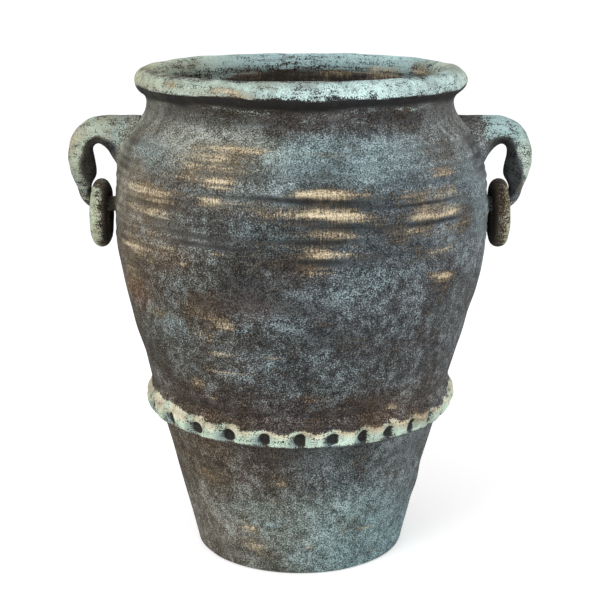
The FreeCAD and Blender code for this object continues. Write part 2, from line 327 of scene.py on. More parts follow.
@dataclass(frozen=True)
class Throwing:
    """How the wheel and the hand left the pot uneven: the same for every piece, so that joints meet."""

    out_of_round: tuple[Wave, ...] = (Wave(1.1, 2, 0.5 + math.pi / 2), Wave(0.7, 3, 1.1))
    foot_out_of_round: float = 0.3
    foot_lumps: float = 0.25
    belly_lean: float = 2.6
    belly_height: float = 440.0
    lean_reach: float = 150.0
    still_floor: Limits = (60.0, 110.0)
    still_foot: Limits = (0.0, 60.0)
    ridge_size: float = 1.8
    ridge_width: float = 3.4
    ridge_middle: float = 0.35
    ridge_wander: tuple[Wave, ...] = (Wave(2.2, 1, 0.6), Wave(1.2, 3, 1.9))
    ridge_strength: float = 0.62
    ridge_fading: float = 0.38
    ridge_fading_start: float = 2.1
    ridges_start: Limits = (405.0, 445.0)
    ridges_end: Limits = (602.0, 578.0)
    hollows_end: Limits = (584.0, 566.0)
    hollow_depth: Limits = (0.1, -0.3)
    ridge_heights: tuple[float, ...] = (571, 559, 547, 534, 523, 511.5, 500.5, 489, 477, 465, 453, 440, 428)
    lump_size: float = 0.75
    lump_seed: int = 7
    lump_count: int = 14
    lump_waves: tuple[int, int] = (5, 19)
    lump_height: float = 55.0
    lump_swell: float = 3.2

    def lumps(self, azimuth: np.ndarray, height: np.ndarray) -> np.ndarray:
        """Work out the gentle lumps, 40 to 90 mm long, that run round the pot without a seam.

        Args:
            azimuth: degrees from the front.
            height: millimetres above the floor.

        Returns:
            How far each place stands out, in millimetres.
        """
        hand = np.random.default_rng(self.lump_seed)
        total = np.zeros_like(azimuth)
        for _ in range(self.lump_count):
            waves = int(hand.integers(*self.lump_waves))
            rise = hand.uniform(-1, 1) * 2 * math.pi / self.lump_height
            phase = hand.uniform(0, 2 * math.pi)
            total += np.sin(np.radians(azimuth) * waves + height * rise + phase)
        return total * self.lump_size / self.lump_swell

    def ridges(self, azimuth: np.ndarray, height: np.ndarray) -> np.ndarray:
        """Work out the finger ridges of the shoulder, each stronger in some places than in others.

        Args:
            azimuth: degrees from the front.
            height: millimetres above the floor.

        Returns:
            How far each place stands out, in millimetres.
        """
        total = np.zeros_like(azimuth)
        angle = np.radians(azimuth)
        for index, crest in enumerate(self.ridge_heights):
            line = crest + added_up(self.ridge_wander, angle, index)
            fading = Wave(self.ridge_fading, 1 + index % 3, self.ridge_fading_start)
            strong = self.ridge_strength + fading.at(angle, index)
            total += strong * bell(line, self.ridge_width, height)
        return (total - self.ridge_middle) * self.ridge_size

    def hollows(self, azimuth: np.ndarray, height: np.ndarray) -> np.ndarray:
        """Work out where the dark wash gathers between two ridges.

        Args:
            azimuth: degrees from the front.
            height: millimetres above the floor.

        Returns:
            How deep each place lies between them, from 0 to 1.
        """
        window = smooth_step(*self.ridges_start, height) * smooth_step(*self.hollows_end, height)
        ridges = self.ridges(azimuth, height) / self.ridge_size
        return window * smooth_step(*self.hollow_depth, ridges)

    def offset(self, azimuth: np.ndarray, height: np.ndarray, outside: np.ndarray) -> np.ndarray:
        """Return how far the wall is pushed out at each place.

        Args:
            azimuth: degrees from the front.
            height: millimetres above the floor.
            outside: 1 on the outer face and 0 on the inner one, which has no ridges of its own.

        Returns:
            The push in millimetres.
        """
        rising = smooth_step(*self.still_foot, height)
        push = added_up(self.out_of_round, np.radians(azimuth)) * blend(self.foot_out_of_round, 1, rising)
        push += self.lumps(azimuth, height) * blend(self.foot_lumps, 1, rising)
        window = smooth_step(*self.ridges_start, height) * smooth_step(*self.ridges_end, height)
        return push + self.ridges(azimuth, height) * window * outside

    def shape(self, piece: bpy.types.Object, outside: np.ndarray) -> None:
        """Push a turned piece's wall in and out, and lean its belly to the right.

        Args:
            piece: the turned piece.
            outside: 1 for each vertex on the outer face and 0 on the inner one.
        """
        points = points_of(piece)
        height = points[:, 2]
        kept = smooth_step(*self.still_floor, reach_of(points))
        lean = self.belly_lean * bell(self.belly_height, self.lean_reach, height)
        push_out(points, self.offset(azimuth_of(points), height, outside) * kept)
        points[:, 0] += lean
        press_points(piece, points)


HAND = Throwing()


@dataclass(frozen=True)
class PotWall:
    """The pot's wall: the corners of its outer face, as reach and height, and its thickness."""

    thickness: float = 15.0
    key: float = 6.0
    foot: Corner = (140.5, 0.0)
    foot_middle: float = 135.0
    seam: Corner = (194.0, 213.0)
    swell: Corner = (231.3, 346.0)
    belly: Corner = (247.2, 462.0)
    shoulder: Corner = (243.1, 515.0)
    collar: Corner = (215.7, 576.7)
    throat: Corner = (207.8, 586.4)
    neck: Corner = (200.9, 606.0)
    swell_round: float = 430.0
    belly_round: float = 342.0
    shoulder_round: float = 130.0
    throat_round: float = 31.3

    def cone(self, height: float) -> float:
        """Return the outer radius of the lower cone at a height."""
        return self.foot[0] + (self.seam[0] - self.foot[0]) * height / self.seam[1]

    def inside(self, points: np.ndarray) -> np.ndarray:
        """Tell the two faces of the wall apart.

        Args:
            points: places in millimetres.

        Returns:
            1 for each place nearer to the axis than the middle of the wall, and 0 outside it.
        """
        corners = (self.seam, self.swell, self.belly, self.shoulder, self.collar, self.throat, self.neck)
        heights = [0.0] + [corner[1] for corner in corners]
        reaches = [self.foot_middle] + [corner[0] - self.thickness / 2 for corner in corners]
        return (reach_of(points) < np.interp(points[:, 2], heights, reaches)).astype(float)


POT = PotWall()


@dataclass(frozen=True)
class Patch:
    """One rubbed patch: its place, its reach to each side and up, its strength and its slope."""

    BACK_TURN: ClassVar[Wave] = Wave(13.0, 2.4)
    BACK_LIFT: ClassVar[Wave] = Wave(9.0, 1.7, 0.5)
    BACK_CHANGE: ClassVar[Wave] = Wave(0.3, 3.7)
    BACK_SHARE: ClassVar[float] = 0.62

    azimuth: float
    height: float
    across: float
    up: float
    amount: float = 1.0
    slope: float = 0.0

    def strength(self, azimuth: np.ndarray, height: np.ndarray) -> np.ndarray:
        """Work out how much of the patch lies on each place: full in its middle, soft at its edge.

        Args:
            azimuth: degrees from the front.
            height: millimetres above the floor.

        Returns:
            The amount, from 0 to 1.
        """
        turn = turn_between(azimuth, self.azimuth)
        rise = height - self.height - self.slope * turn
        away = (turn / self.across) ** 2 + (rise / self.up) ** 2
        return self.amount * np.clip(PATCH_FULLNESS * np.exp(-away), 0.0, 1.0)

    def behind(self, index: int) -> "Patch":
        """Make a like patch for the back of the pot, moved so that front and back don't match.

        Args:
            index: the patch's place in its list.

        Returns:
            The patch behind.
        """
        azimuth = 180.0 + self.azimuth + self.BACK_TURN.at(index)
        height = self.height + self.BACK_LIFT.at(index)
        amount = self.amount * (self.BACK_SHARE + self.BACK_CHANGE.at(index))
        return Patch(azimuth, height, self.across, self.up, amount, -self.slope)


@dataclass(frozen=True)
class Tone:
    """The ground colour round one place of the pot."""

    azimuth: float
    height: float
    across: float
    up: float
    colour: str

    def weight(self, azimuth: np.ndarray, height: np.ndarray) -> np.ndarray:
        """Work out how much this tone counts at each place.

        Args:
            azimuth: degrees from the front.
            height: millimetres above the floor.

        Returns:
            The weight, which is 1 in the tone's middle.
        """
        turn = turn_between(azimuth, self.azimuth) / self.across
        rise = (height - self.height) / self.up
        return np.exp(-(turn ** 2 + rise ** 2)) + NEARLY_NOTHING


def all_round(patches: tuple[Patch, ...]) -> tuple[Patch, ...]:
    """Return the patches of the front with their like on the back."""
    return patches + tuple(patch.behind(index) for index, patch in enumerate(patches))


def rubbed(patches: tuple[Patch, ...], azimuth: np.ndarray, height: np.ndarray) -> np.ndarray:
    """Lay patches over each other.

    Args:
        patches: the patches of one wash.
        azimuth: degrees from the front.
        height: millimetres above the floor.

    Returns:
        How much of the wash each place carries, from 0 to 1.
    """
    bare = np.ones_like(azimuth)
    for patch in patches:
        bare = bare * (1.0 - patch.strength(azimuth, height))
    return 1.0 - bare


def toned(tones: tuple[Tone, ...], azimuth: np.ndarray, height: np.ndarray) -> np.ndarray:
    """Blend the tones into one ground colour for each place.

    Args:
        tones: the tones of one finish.
        azimuth: degrees from the front.
        height: millimetres above the floor.

    Returns:
        Linear colours, one row for each place.
    """
    total = np.zeros((len(azimuth), 3))
    weights = np.zeros((len(azimuth), 1))
    for tone in tones:
        weight = tone.weight(azimuth, height)[:, None]
        total += weight * np.array(linear(tone.colour))
        weights += weight
    return total / weights


@dataclass
class Paint:
    """What is painted on one piece, value by value for its vertices.

    The ground is the clay's own colour and the glaze is the pale slip over it. An amount of 1 is a full
    coat, and the shares in which the pieces mix their coats were judged.
    """

    MOST: ClassVar[float] = 1.5

    ground: np.ndarray
    glaze: np.ndarray
    ochre: np.ndarray
    teal: np.ndarray
    # The dark coat: dark wash on most of the pot, with painted shadow under the band and the rim's roll, and
    # painted shade in the thumb presses and on the rings' sides towards the pot
    soot_and_shade: np.ndarray
    paleness: np.ndarray

    def lay_on(self, piece: bpy.types.Object) -> None:
        """Write the paint into the mesh, where the clay's material reads it.

        Args:
            piece: the object with as many vertices as the paint has values.
        """
        ones = np.ones((len(piece.data.vertices), 1))
        washes = np.stack([self.ochre, self.teal, self.soot_and_shade], axis=1)
        for name, colours in ((GROUND, self.ground), (GLAZE, self.glaze), (WASHES_AND_SHADE, washes)):
            layer = piece.data.attributes.new(name, "FLOAT_COLOR", "POINT")
            layer.data.foreach_set("color", np.hstack([np.clip(colours, 0, self.MOST), ones]).ravel())
        layer = piece.data.attributes.new(PALENESS, "FLOAT", "POINT")
        layer.data.foreach_set("value", np.clip(self.paleness, -1, self.MOST))


# Tan and cream rubbed on the throwing ridges of the shoulder, and a few rubs lower down
OCHRE_RUBS = (
    Patch(6, 500, 15, 22, 0.32), Patch(43, 503, 11, 24, 0.42), Patch(9, 462, 9, 20, 0.25),
    Patch(45, 452, 9, 22, 0.3), Patch(-28, 548, 12, 20, 0.36), Patch(-18, 512, 12, 14, 0.28),
    Patch(-50, 500, 13, 26, 0.42), Patch(-55, 452, 12, 26, 0.36), Patch(-66, 400, 12, 50, 0.28),
    Patch(-30, 352, 10, 30, 0.22), Patch(-24, 300, 12, 22, 0.2), Patch(-28, 60, 14, 26, 0.22),
    Patch(-24, 571, 6, 5, 0.75), Patch(-14, 571, 6, 4, 0.6), Patch(10, 567, 10, 3, 0.4),
    Patch(-26, 559, 5, 8, 0.6), Patch(-34, 563, 5, 12, 0.45), Patch(-24, 533, 6, 7, 0.85),
    Patch(-33, 540, 4, 7, 0.45), Patch(3, 524, 6, 5, 0.95, -0.2), Patch(12, 521, 8, 5.5, 0.9, -0.2),
    Patch(-25, 510, 5, 6, 1.0, -0.3), Patch(-15, 507, 7, 5, 0.7, -0.3), Patch(-4, 504, 5, 5, 0.8, -0.2),
    Patch(5, 502, 7, 5.5, 1.0, -0.4), Patch(13, 497, 6, 5.5, 1.0, -0.5), Patch(33, 516, 4, 4, 0.75),
    Patch(41, 515, 5, 5, 0.85), Patch(49, 516, 4, 5, 0.8), Patch(46, 538, 7, 6, 0.6),
    Patch(37, 491, 5, 7, 0.9), Patch(45, 490, 8, 7, 0.95), Patch(5, 479, 4, 4, 0.85),
    Patch(12, 475, 6, 5, 0.9, -0.2), Patch(33, 472, 4, 4, 0.55), Patch(45, 470, 9, 4, 0.4),
    Patch(8, 453, 6, 5, 0.7), Patch(44, 446, 8, 4, 0.55), Patch(6, 432, 5, 7, 0.5),
    Patch(46, 410, 4, 6, 0.8), Patch(41, 415, 3, 4, 0.5), Patch(-56, 512, 7, 6, 0.7),
    Patch(-45, 507, 6, 7, 0.75), Patch(-45, 489, 6, 7, 0.6), Patch(-56, 491, 6, 5, 0.45),
    Patch(-47, 460, 5, 7, 0.45), Patch(-42, 445, 4, 7, 0.5), Patch(-58, 437, 8, 7, 0.5),
    Patch(-63, 466, 6, 6, 0.35), Patch(-24, 449, 3, 1.8, 0.9), Patch(-35, 432, 2, 3, 0.8),
    Patch(-23, 360, 3.5, 7, 0.65), Patch(-50, 357, 6, 8, 0.4), Patch(-30, 340, 3, 6, 0.35),
    Patch(-25, 319, 5, 1.8, 0.7), Patch(-9, 320, 3, 1.5, 0.75), Patch(-25, 294, 6, 1.8, 0.8),
    Patch(-37, 270, 4, 7, 0.45), Patch(-32, 253, 1.4, 3, 0.9), Patch(35, 236, 3, 9, 0.75),
    Patch(-15, 232, 6, 2.5, 0.5), Patch(-8, 140, 3, 7, 0.4), Patch(-25, 66, 4, 6, 0.65),
    Patch(-24, 38, 6, 9, 0.55), Patch(4.5, 44, 1.7, 2.5, 1.0), Patch(20, 60, 4, 6, 0.35),
    Patch(32, 62, 4, 4, 0.4), Patch(-45, 130, 8, 12, 0.3), Patch(70, 520, 6, 6, 0.4),
)

# Teal left in the pores, brushed on in broad patches
TEAL_RUBS = (
    Patch(-60, 560, 12, 16, 0.65), Patch(-48, 545, 7, 16, 0.6), Patch(-44, 524, 8, 6, 0.45),
    Patch(-34, 520, 6, 5, 0.35), Patch(2, 557, 6, 15, 0.85), Patch(3, 582, 5, 6, 0.55),
    Patch(-14, 558, 8, 6, 0.35), Patch(19, 562, 9, 14, 0.35), Patch(36, 566, 9, 12, 0.65),
    Patch(28, 545, 9, 10, 0.35), Patch(58, 536, 7, 12, 0.55), Patch(63, 515, 7, 12, 0.55),
    Patch(67, 488, 8, 20, 0.6), Patch(65, 458, 7, 16, 0.5), Patch(18, 428, 7, 9, 0.65),
    Patch(14, 404, 7, 10, 0.65), Patch(24, 418, 7, 12, 0.55), Patch(20, 390, 9, 11, 0.2),
    Patch(29, 370, 8, 9, 0.28), Patch(33, 354, 5, 8, 0.35), Patch(-10, 478, 8, 16, 0.35),
    Patch(-35, 405, 7, 12, 0.3), Patch(-38, 384, 7, 14, 0.35), Patch(-40, 342, 10, 20, 0.4),
    Patch(-17, 354, 2.5, 3, 0.95), Patch(-4, 365, 6, 12, 0.45), Patch(-8, 311, 6, 12, 0.5),
    Patch(6, 322, 5, 5, 0.3), Patch(17, 297, 7, 5, 0.4), Patch(11, 268, 9, 16, 0.35),
    Patch(-20, 288, 9, 9, 0.25), Patch(-12, 78, 9, 12, 0.55), Patch(10, 76, 9, 10, 0.45),
    Patch(14, 20, 9, 20, 0.6), Patch(31, 26, 9, 22, 0.65), Patch(25, 54, 11, 14, 0.5),
    Patch(32, 114, 8, 15, 0.45), Patch(22, 128, 8, 15, 0.35), Patch(22, 166, 4, 7, 0.45),
    Patch(36, 90, 9, 12, 0.4), Patch(46, 72, 9, 18, 0.35), Patch(0, 30, 9, 14, 0.3),
    Patch(-20, 100, 9, 12, 0.3), Patch(-36, 88, 9, 20, 0.25), Patch(70, 60, 10, 40, 0.3),
)

# Dark wash left in the hollows between the ridges and in the waist above the band, and painted shadow under
# the band
SOOT_AND_SHADE_RUBS = (
    Patch(8, 513, 16, 4, 0.42, -0.3), Patch(8, 488, 13, 5, 0.6, -0.2), Patch(5, 465, 11, 5, 0.45),
    Patch(6, 443, 9, 4, 0.4), Patch(-14, 516, 18, 6, 0.22), Patch(-45, 500, 12, 3, 0.5),
    Patch(-42, 476, 11, 5, 0.4), Patch(-28, 462, 10, 7, 0.3), Patch(42, 504, 12, 4, 0.5),
    Patch(42, 480, 10, 4, 0.4), Patch(-14, 412, 12, 14, 0.3), Patch(-14, 388, 24, 15, 0.42),
    Patch(6, 345, 14, 12, 0.3), Patch(24, 250, 14, 12, 0.3), Patch(-55, 300, 12, 30, 0.25),
    Patch(0, 180, 30, 16, 0.35), Patch(55, 170, 16, 24, 0.35), Patch(-42, 24, 12, 14, 0.35),
    Patch(60, 90, 12, 40, 0.2), Patch(-72, 540, 10, 25, 0.3), Patch(76, 545, 8, 25, 0.3),
)

WARM_BROWN = "#5c5347"
UMBER = "#4a3f36"
CHARCOAL = "#403e3d"
SLATE = "#4b4f53"
OLIVE = "#544c40"

# The dark wash turns from warm brown on the left to slate on the right, and is lighter and greyer on the
# shoulder
BODY_TONES = (
    Tone(-80, 560, 22, 40, "#87877b"), Tone(-45, 575, 25, 24, "#86877d"), Tone(0, 598, 22, 14, "#433f3d"),
    Tone(36, 598, 18, 12, "#494545"), Tone(74, 584, 22, 35, "#67645f"), Tone(-34, 604, 18, 12, "#3e3933"),
    Tone(-22, 560, 16, 18, "#878a80"), Tone(5, 560, 15, 20, "#7d9295"), Tone(27, 556, 13, 22, "#74868b"),
    Tone(50, 566, 18, 24, "#8f9493"), Tone(0, 532, 22, 12, "#667070"),
    Tone(-62, 520, 20, 40, "#766d5d"), Tone(-25, 510, 18, 45, "#4d4d4b"),
    Tone(6, 495, 18, 50, "#3d464a"), Tone(40, 510, 20, 60, "#4e5961"), Tone(72, 480, 18, 80, "#7b8488"),
    Tone(-66, 440, 20, 40, WARM_BROWN), Tone(-40, 400, 18, 50, "#494238"), Tone(-14, 400, 16, 50, "#323435"),
    Tone(18, 395, 20, 50, SLATE), Tone(48, 380, 20, 60, "#4e5052"), Tone(-60, 320, 22, 50, "#413c33"),
    Tone(-28, 310, 18, 45, "#423f3c"), Tone(0, 310, 20, 45, "#3c3e3f"), Tone(35, 310, 20, 45, "#464749"),
    Tone(70, 300, 20, 60, "#56585a"), Tone(-45, 245, 30, 22, UMBER), Tone(5, 242, 30, 20, "#40393a"),
    Tone(50, 245, 30, 22, "#4c4540"), Tone(-60, 140, 25, 55, "#5a5143"), Tone(-22, 165, 22, 40, "#50473e"),
    Tone(12, 160, 22, 40, "#464b4d"), Tone(60, 140, 25, 60, "#686e70"), Tone(-50, 45, 25, 50, "#6e675c"),
    Tone(-10, 60, 25, 50, "#757b74"), Tone(20, 50, 20, 50, "#6f8685"), Tone(55, 45, 25, 50, "#738a8e"),
    Tone(-62, 380, 8, 20, "#6b4a30"), Tone(-30, 384, 7, 14, "#5e4432"), Tone(-14, 387, 8, 18, "#50403a"),
    Tone(-44, 436, 8, 14, "#5a4636"), Tone(-4, 430, 8, 14, "#4b4340"), Tone(30, 236, 8, 14, "#5c4636"),
    Tone(-40, 180, 9, 16, "#5c4835"), Tone(135, 450, 40, 120, SLATE), Tone(180, 450, 30, 120, UMBER),
    Tone(225, 450, 40, 120, OLIVE), Tone(160, 300, 12, 30, "#5e4a38"), Tone(215, 380, 10, 26, "#5c4636"),
    Tone(135, 180, 40, 120, CHARCOAL), Tone(200, 180, 45, 120, UMBER),
)

YELLOW_GREEN = "#a9ab8c"
SAGE = "#b0bba9"
MINT = "#b9d2cf"
DULL_TEAL = "#9cb8b8"

# The pale wash of the rim turns from yellow-green on the left to mint on the right
TRIM_TONES = (
    Tone(-85, 635, 20, 300, YELLOW_GREEN), Tone(-55, 635, 16, 300, SAGE), Tone(-30, 635, 16, 300, "#b6c7b9"),
    Tone(0, 635, 20, 300, MINT), Tone(45, 635, 30, 300, MINT), Tone(95, 635, 20, 300, SAGE),
    Tone(140, 635, 25, 300, DULL_TEAL), Tone(190, 635, 30, 300, DULL_TEAL), Tone(240, 635, 25, 300, SAGE),
)


@dataclass(frozen=True)
class Belt:
    """A belt of wash round the pot: the heights over which it comes in and goes out, and how much."""

    comes: Limits
    goes: Limits
    amount: float

    def strength(self, height: np.ndarray) -> np.ndarray:
        """Return how much of the wash lies at each height."""
        return self.amount * smooth_step(*self.comes, height) * smooth_step(*self.goes, height)


@dataclass(frozen=True)
class BodyWash:
    """The dark, rubbed finish of the pot's wall, and how strongly each wash was laid on, with painted shadow
    under the band and painted shade under the rim.
    """

    bare_clay: str = "#4a4239"
    sprinkled: str = "#9fadb0"
    least_ochre: float = 0.04
    least_teal: float = 0.15
    teal_share: float = 0.7
    hollow_soot: float = 0.38
    hollow_ochre: float = 0.35
    collar: Belt = Belt((582, 600), ENDLESS, 0.4)
    # Dark paint of the neck together with painted shade under the roll of the rim
    under_rim_dark_and_shade: Belt = Belt((606, 619), ENDLESS, 0.5)
    over_band: Belt = Belt((205, 215), (262, 238), 0.4)
    # Painted shadow of the band on the wall under its lip
    shadow_under_band: Belt = Belt((184, 196), (214, 208), 0.7)
    # How much darker the inside is made, and how much more above 560 mm
    inside_darkening: float = 0.4
    inside_darkening_top: Belt = Belt((560, 630), ENDLESS, 0.4)
    neck_flecks: Belt = Belt((572, 590), ENDLESS, 0.98)

    def paint(self, points: np.ndarray, inside: np.ndarray) -> "Paint":
        """Paint the wall.

        Args:
            points: places in millimetres.
            inside: 1 where the inside of the pot is, which is darkened, more so towards the top.

        Returns:
            The paint.
        """
        azimuth = azimuth_of(points)
        height = points[:, 2]
        outside = 1 - inside
        ground = toned(BODY_TONES, azimuth, height) * outside[:, None]
        hollow = HAND.hollows(azimuth, height)
        soot_and_shade = rubbed(all_round(SOOT_AND_SHADE_RUBS), azimuth, height) + self.hollow_soot * hollow
        soot_and_shade = np.maximum(soot_and_shade, self.collar.strength(height) + self.under_rim_dark_and_shade.strength(height))
        for belt in (self.over_band, self.shadow_under_band):
            soot_and_shade = np.maximum(soot_and_shade, belt.strength(height))
        ochre = rubbed(all_round(OCHRE_RUBS), azimuth, height) * (1 - self.hollow_ochre * hollow)
        teal = rubbed(all_round(TEAL_RUBS), azimuth, height)
        return Paint(
            ground=ground + plain(self.bare_clay, len(points)) * inside[:, None],
            glaze=plain(self.sprinkled, len(points)),
            ochre=(self.least_ochre + ochre) * outside,
            teal=(self.least_teal + teal * self.teal_share) * outside,
            soot_and_shade=soot_and_shade * outside + inside * (self.inside_darkening + self.inside_darkening_top.strength(height)),
            paleness=self.neck_flecks.strength(height) * outside - 1.0,
        )


BODY_WASH = BodyWash()


def add_node(
    tree: bpy.types.NodeTree, kind: str, inputs: dict | None = None, **settings: object,
) -> bpy.types.Node:
    """Add a shader node with its settings and links.

    Args:
        tree: the node tree it goes into.
        kind: the node's type.
        inputs: a value or a socket for each input that is set or linked.
        settings: the node's own settings.

    Returns:
        The node.
    """
    node = tree.nodes.new(kind)
    for name, value in settings.items():
        setattr(node, name, value)
    for name, value in (inputs or {}).items():
        if isinstance(value, bpy.types.NodeSocket):
            tree.links.new(value, node.inputs[name])
        else:
            node.inputs[name].default_value = value
    return node


@dataclass(frozen=True)
class Spread:
    """How a wash spreads: what each pattern adds, and the amounts where it starts and where it covers."""

    shares: Shares
    limits: Limits


@dataclass
class Mixer:
    """A material's node tree with the clay's patterns, on which its washes are laid."""

    tree: bpy.types.NodeTree
    grain: dict[str, bpy.types.NodeSocket]

    def painted(self, name: str, output: str = "Color") -> bpy.types.NodeSocket:
        """Return what the paint on the mesh says."""
        return add_node(self.tree, "ShaderNodeAttribute", attribute_name=name).outputs[output]

    def gathered(self, start: object, shares: Shares) -> bpy.types.NodeSocket:
        """Add patterns to a start value, each taken about its middle and times its share.

        Args:
            start: the value or socket that is started from.
            shares: the patterns by name, with their shares.

        Returns:
            The sum.
        """
        total = start
        for name, share in shares:
            inputs = {0: self.grain[name], 1: 0.5}
            centred = add_node(self.tree, "ShaderNodeMath", inputs, operation="SUBTRACT").outputs[0]
            inputs = {0: centred, 1: share, 2: total}
            total = add_node(self.tree, "ShaderNodeMath", inputs, operation="MULTIPLY_ADD").outputs[0]
        return total

    def speckled(self, paint: str, lift: float, shares: Shares) -> bpy.types.NodeSocket:
        """Return a painted colour, darker in its pits and lighter on its grit.

        Args:
            paint: the attribute that holds the colour.
            lift: how many stops lighter the whole is made.
            shares: the patterns with their shares in stops.

        Returns:
            The uneven colour.
        """
        inputs = {0: 2.0, 1: self.gathered(lift, shares)}
        shade = add_node(self.tree, "ShaderNodeMath", inputs, operation="POWER").outputs[0]
        inputs = {0: self.painted(paint), "Scale": shade}
        return add_node(self.tree, "ShaderNodeVectorMath", inputs, operation="SCALE").outputs[0]

    def washed(self, under: object, over: object, amount: object, spread: Spread) -> bpy.types.NodeSocket:
        """Lay a wash over a colour.

        Args:
            under: the colour below.
            over: the colour of the wash.
            amount: how much of the wash was laid on.
            spread: how it spread over the clay.

        Returns:
            The colour that shows.
        """
        reached = self.gathered(amount, spread.shares)
        inputs = {"Value": reached, "From Min": spread.limits[0], "From Max": spread.limits[1]}
        cover = add_node(self.tree, "ShaderNodeMapRange", inputs, interpolation_type="SMOOTHSTEP").outputs[0]
        inputs = {0: cover, 6: under, 7: over}
        return add_node(self.tree, "ShaderNodeMix", inputs, data_type="RGBA").outputs[2]


@dataclass(frozen=True)
class WeatheredClay:
    """Earthenware, thrown and fired, under a dark wash with pale washes rubbed over it by hand.

    Matt fired clay: a rough grey-brown ground, grit that catches the pale washes as small specks, and
    horizontal rubs of tan and teal on whatever stands proud. Each pattern's size is in millimetres. The
    grit is really under half a millimetre, too fine to show, and is drawn as coarse as it has to be.
    """

    name: str
    grit: float = 1.7
    fine_grit: float = 1.0
    mottle: float = 11.0
    cloud: float = 60.0
    rub_length: float = 45.0
    rub_height: float = 4.2
    comb_width: float = 1.8
    comb_height: float = 13.0
    grain_details: Shares = (("grit", 2.0), ("fine", 1.0), ("mottle", 4.0), ("cloud", 3.0))
    grain_roughness: float = 0.55
    stroke_roughness: float = 0.6
    stroke_detail: float = 4.0
    roughness: float = 0.86
    specular: float = 0.25
    relief: float = 0.9
    relief_strength: float = 0.75
    relief_shares: Shares = (("grit", 0.55), ("fine", 0.3), ("mottle", 0.9), ("rub", 0.35))
    tan: str = "#7d6a50"
    cream: str = "#e3d4b4"
    teal_dark: str = "#1d282d"
    teal_light: str = "#9eb4b7"
    # Near-black of the dark wash, also used for painted shade
    soot_and_shade: str = "#1c1b1a"
    fleck: str = "#b4bebd"
    clay_lift: float = -0.32
    clay_stops: Shares = (("grit", 9.2), ("fine", 6.4), ("mottle", 4.6), ("cloud", 4.6))
    slip_stops: Shares = (("grit", 2.6), ("fine", 2.2), ("mottle", 1.8), ("cloud", 2.4))
    teal_turn: Spread = Spread((("fine", 0.6), ("mottle", 0.35)), (0.40, 0.68))
    cream_turn: Spread = Spread((("rub", 1.5), ("comb", 1.5), ("grit", 2.0)), (0.35, 1.35))
    slip_spread: Spread = Spread((("mottle", 1.8), ("grit", 2.5), ("fine", 1.7), ("rub", 2.4)), (0.42, 0.7))
    teal_spread: Spread = Spread(
        (("mottle", 1.5), ("grit", 1.7), ("fine", 0.9), ("cloud", 1.2)), (0.12, 1.35),
    )
    ochre_spread: Spread = Spread((("rub", 1.1), ("comb", 1.3), ("grit", 1.3), ("cloud", -1.4)), (0.08, 1.2))
    fleck_spread: Spread = Spread((("cloud", 0.35), ("mottle", 0.35)), (0.64, 0.80))
    # How the dark coat spreads, both as dark wash and as painted shade
    soot_and_shade_spread: Spread = Spread((("mottle", 1.2), ("grit", 1.8), ("fine", 0.9)), (0.35, 1.05))

    def make(self) -> bpy.types.Material:
        """Build the material.

        Returns:
            The material, which reads the paint laid on each mesh.
        """
        material = bpy.data.materials.new(self.name)
        material.use_nodes = True
        tree = material.node_tree
        mixer = Mixer(tree, self.grain(tree))
        grit = mixer.grain["grit"]
        amounts = add_node(tree, "ShaderNodeSeparateColor", {"Color": mixer.painted(WASHES_AND_SHADE)}).outputs
        clay = mixer.speckled(GROUND, self.clay_lift, self.clay_stops)
        slip = mixer.speckled(GLAZE, 0.0, self.slip_stops)
        teal = mixer.washed(opaque(self.teal_dark), opaque(self.teal_light), grit, self.teal_turn)
        ochre = mixer.washed(opaque(self.tan), opaque(self.cream), amounts[0], self.cream_turn)
        colour = clay
        for wash, amount, spread in (
            (slip, mixer.painted(PALENESS, "Fac"), self.slip_spread),
            (teal, amounts[1], self.teal_spread),
            (ochre, amounts[0], self.ochre_spread),
            (opaque(self.fleck), grit, self.fleck_spread),
            (opaque(self.soot_and_shade), amounts[2], self.soot_and_shade_spread),
        ):
            colour = mixer.washed(colour, wash, amount, spread)
        surface = mixer.gathered(0.5, self.relief_shares)
        inputs = {"Height": surface, "Strength": self.relief_strength, "Distance": self.relief * MM}
        bump = add_node(tree, "ShaderNodeBump", inputs).outputs[0]
        shader = tree.nodes["Principled BSDF"]
        tree.links.new(colour, shader.inputs["Base Color"])
        tree.links.new(bump, shader.inputs["Normal"])
        shader.inputs["Roughness"].default_value = self.roughness
        shader.inputs["Specular IOR Level"].default_value = self.specular
        return material

    def grain(self, tree: bpy.types.NodeTree) -> dict[str, bpy.types.NodeSocket]:
        """Lay out the clay's unevenness, from fine grit to clouds as wide as a hand.

        Args:
            tree: the material's node tree.

        Returns:
            One pattern for each size of unevenness, one drawn out along the wheel's turn, where a hand
            rubbed, and one drawn out upwards, where a brush went.
        """
        place = add_node(tree, "ShaderNodeTexCoord").outputs["Object"]
        patterns = {}
        sizes = {"grit": self.grit, "fine": self.fine_grit, "mottle": self.mottle, "cloud": self.cloud}
        for name, detail in self.grain_details:
            inputs = {"Vector": place, "Scale": 1 / (sizes[name] * MM), "Detail": detail}
            inputs["Roughness"] = self.grain_roughness
            patterns[name] = add_node(tree, "ShaderNodeTexNoise", inputs).outputs["Fac"]
        strokes = {"rub": (self.rub_length, self.rub_height), "comb": (self.comb_width, self.comb_height)}
        for name, (across, up) in strokes.items():
            inputs = {"Vector": place, "Scale": (1 / (across * MM), 1 / (across * MM), 1 / (up * MM))}
            drawn_out = add_node(tree, "ShaderNodeMapping", inputs).outputs[0]
            inputs = {"Vector": drawn_out, "Scale": 1.0, "Detail": self.stroke_detail}
            inputs["Roughness"] = self.stroke_roughness
            patterns[name] = add_node(tree, "ShaderNodeTexNoise", inputs).outputs["Fac"]
        return patterns


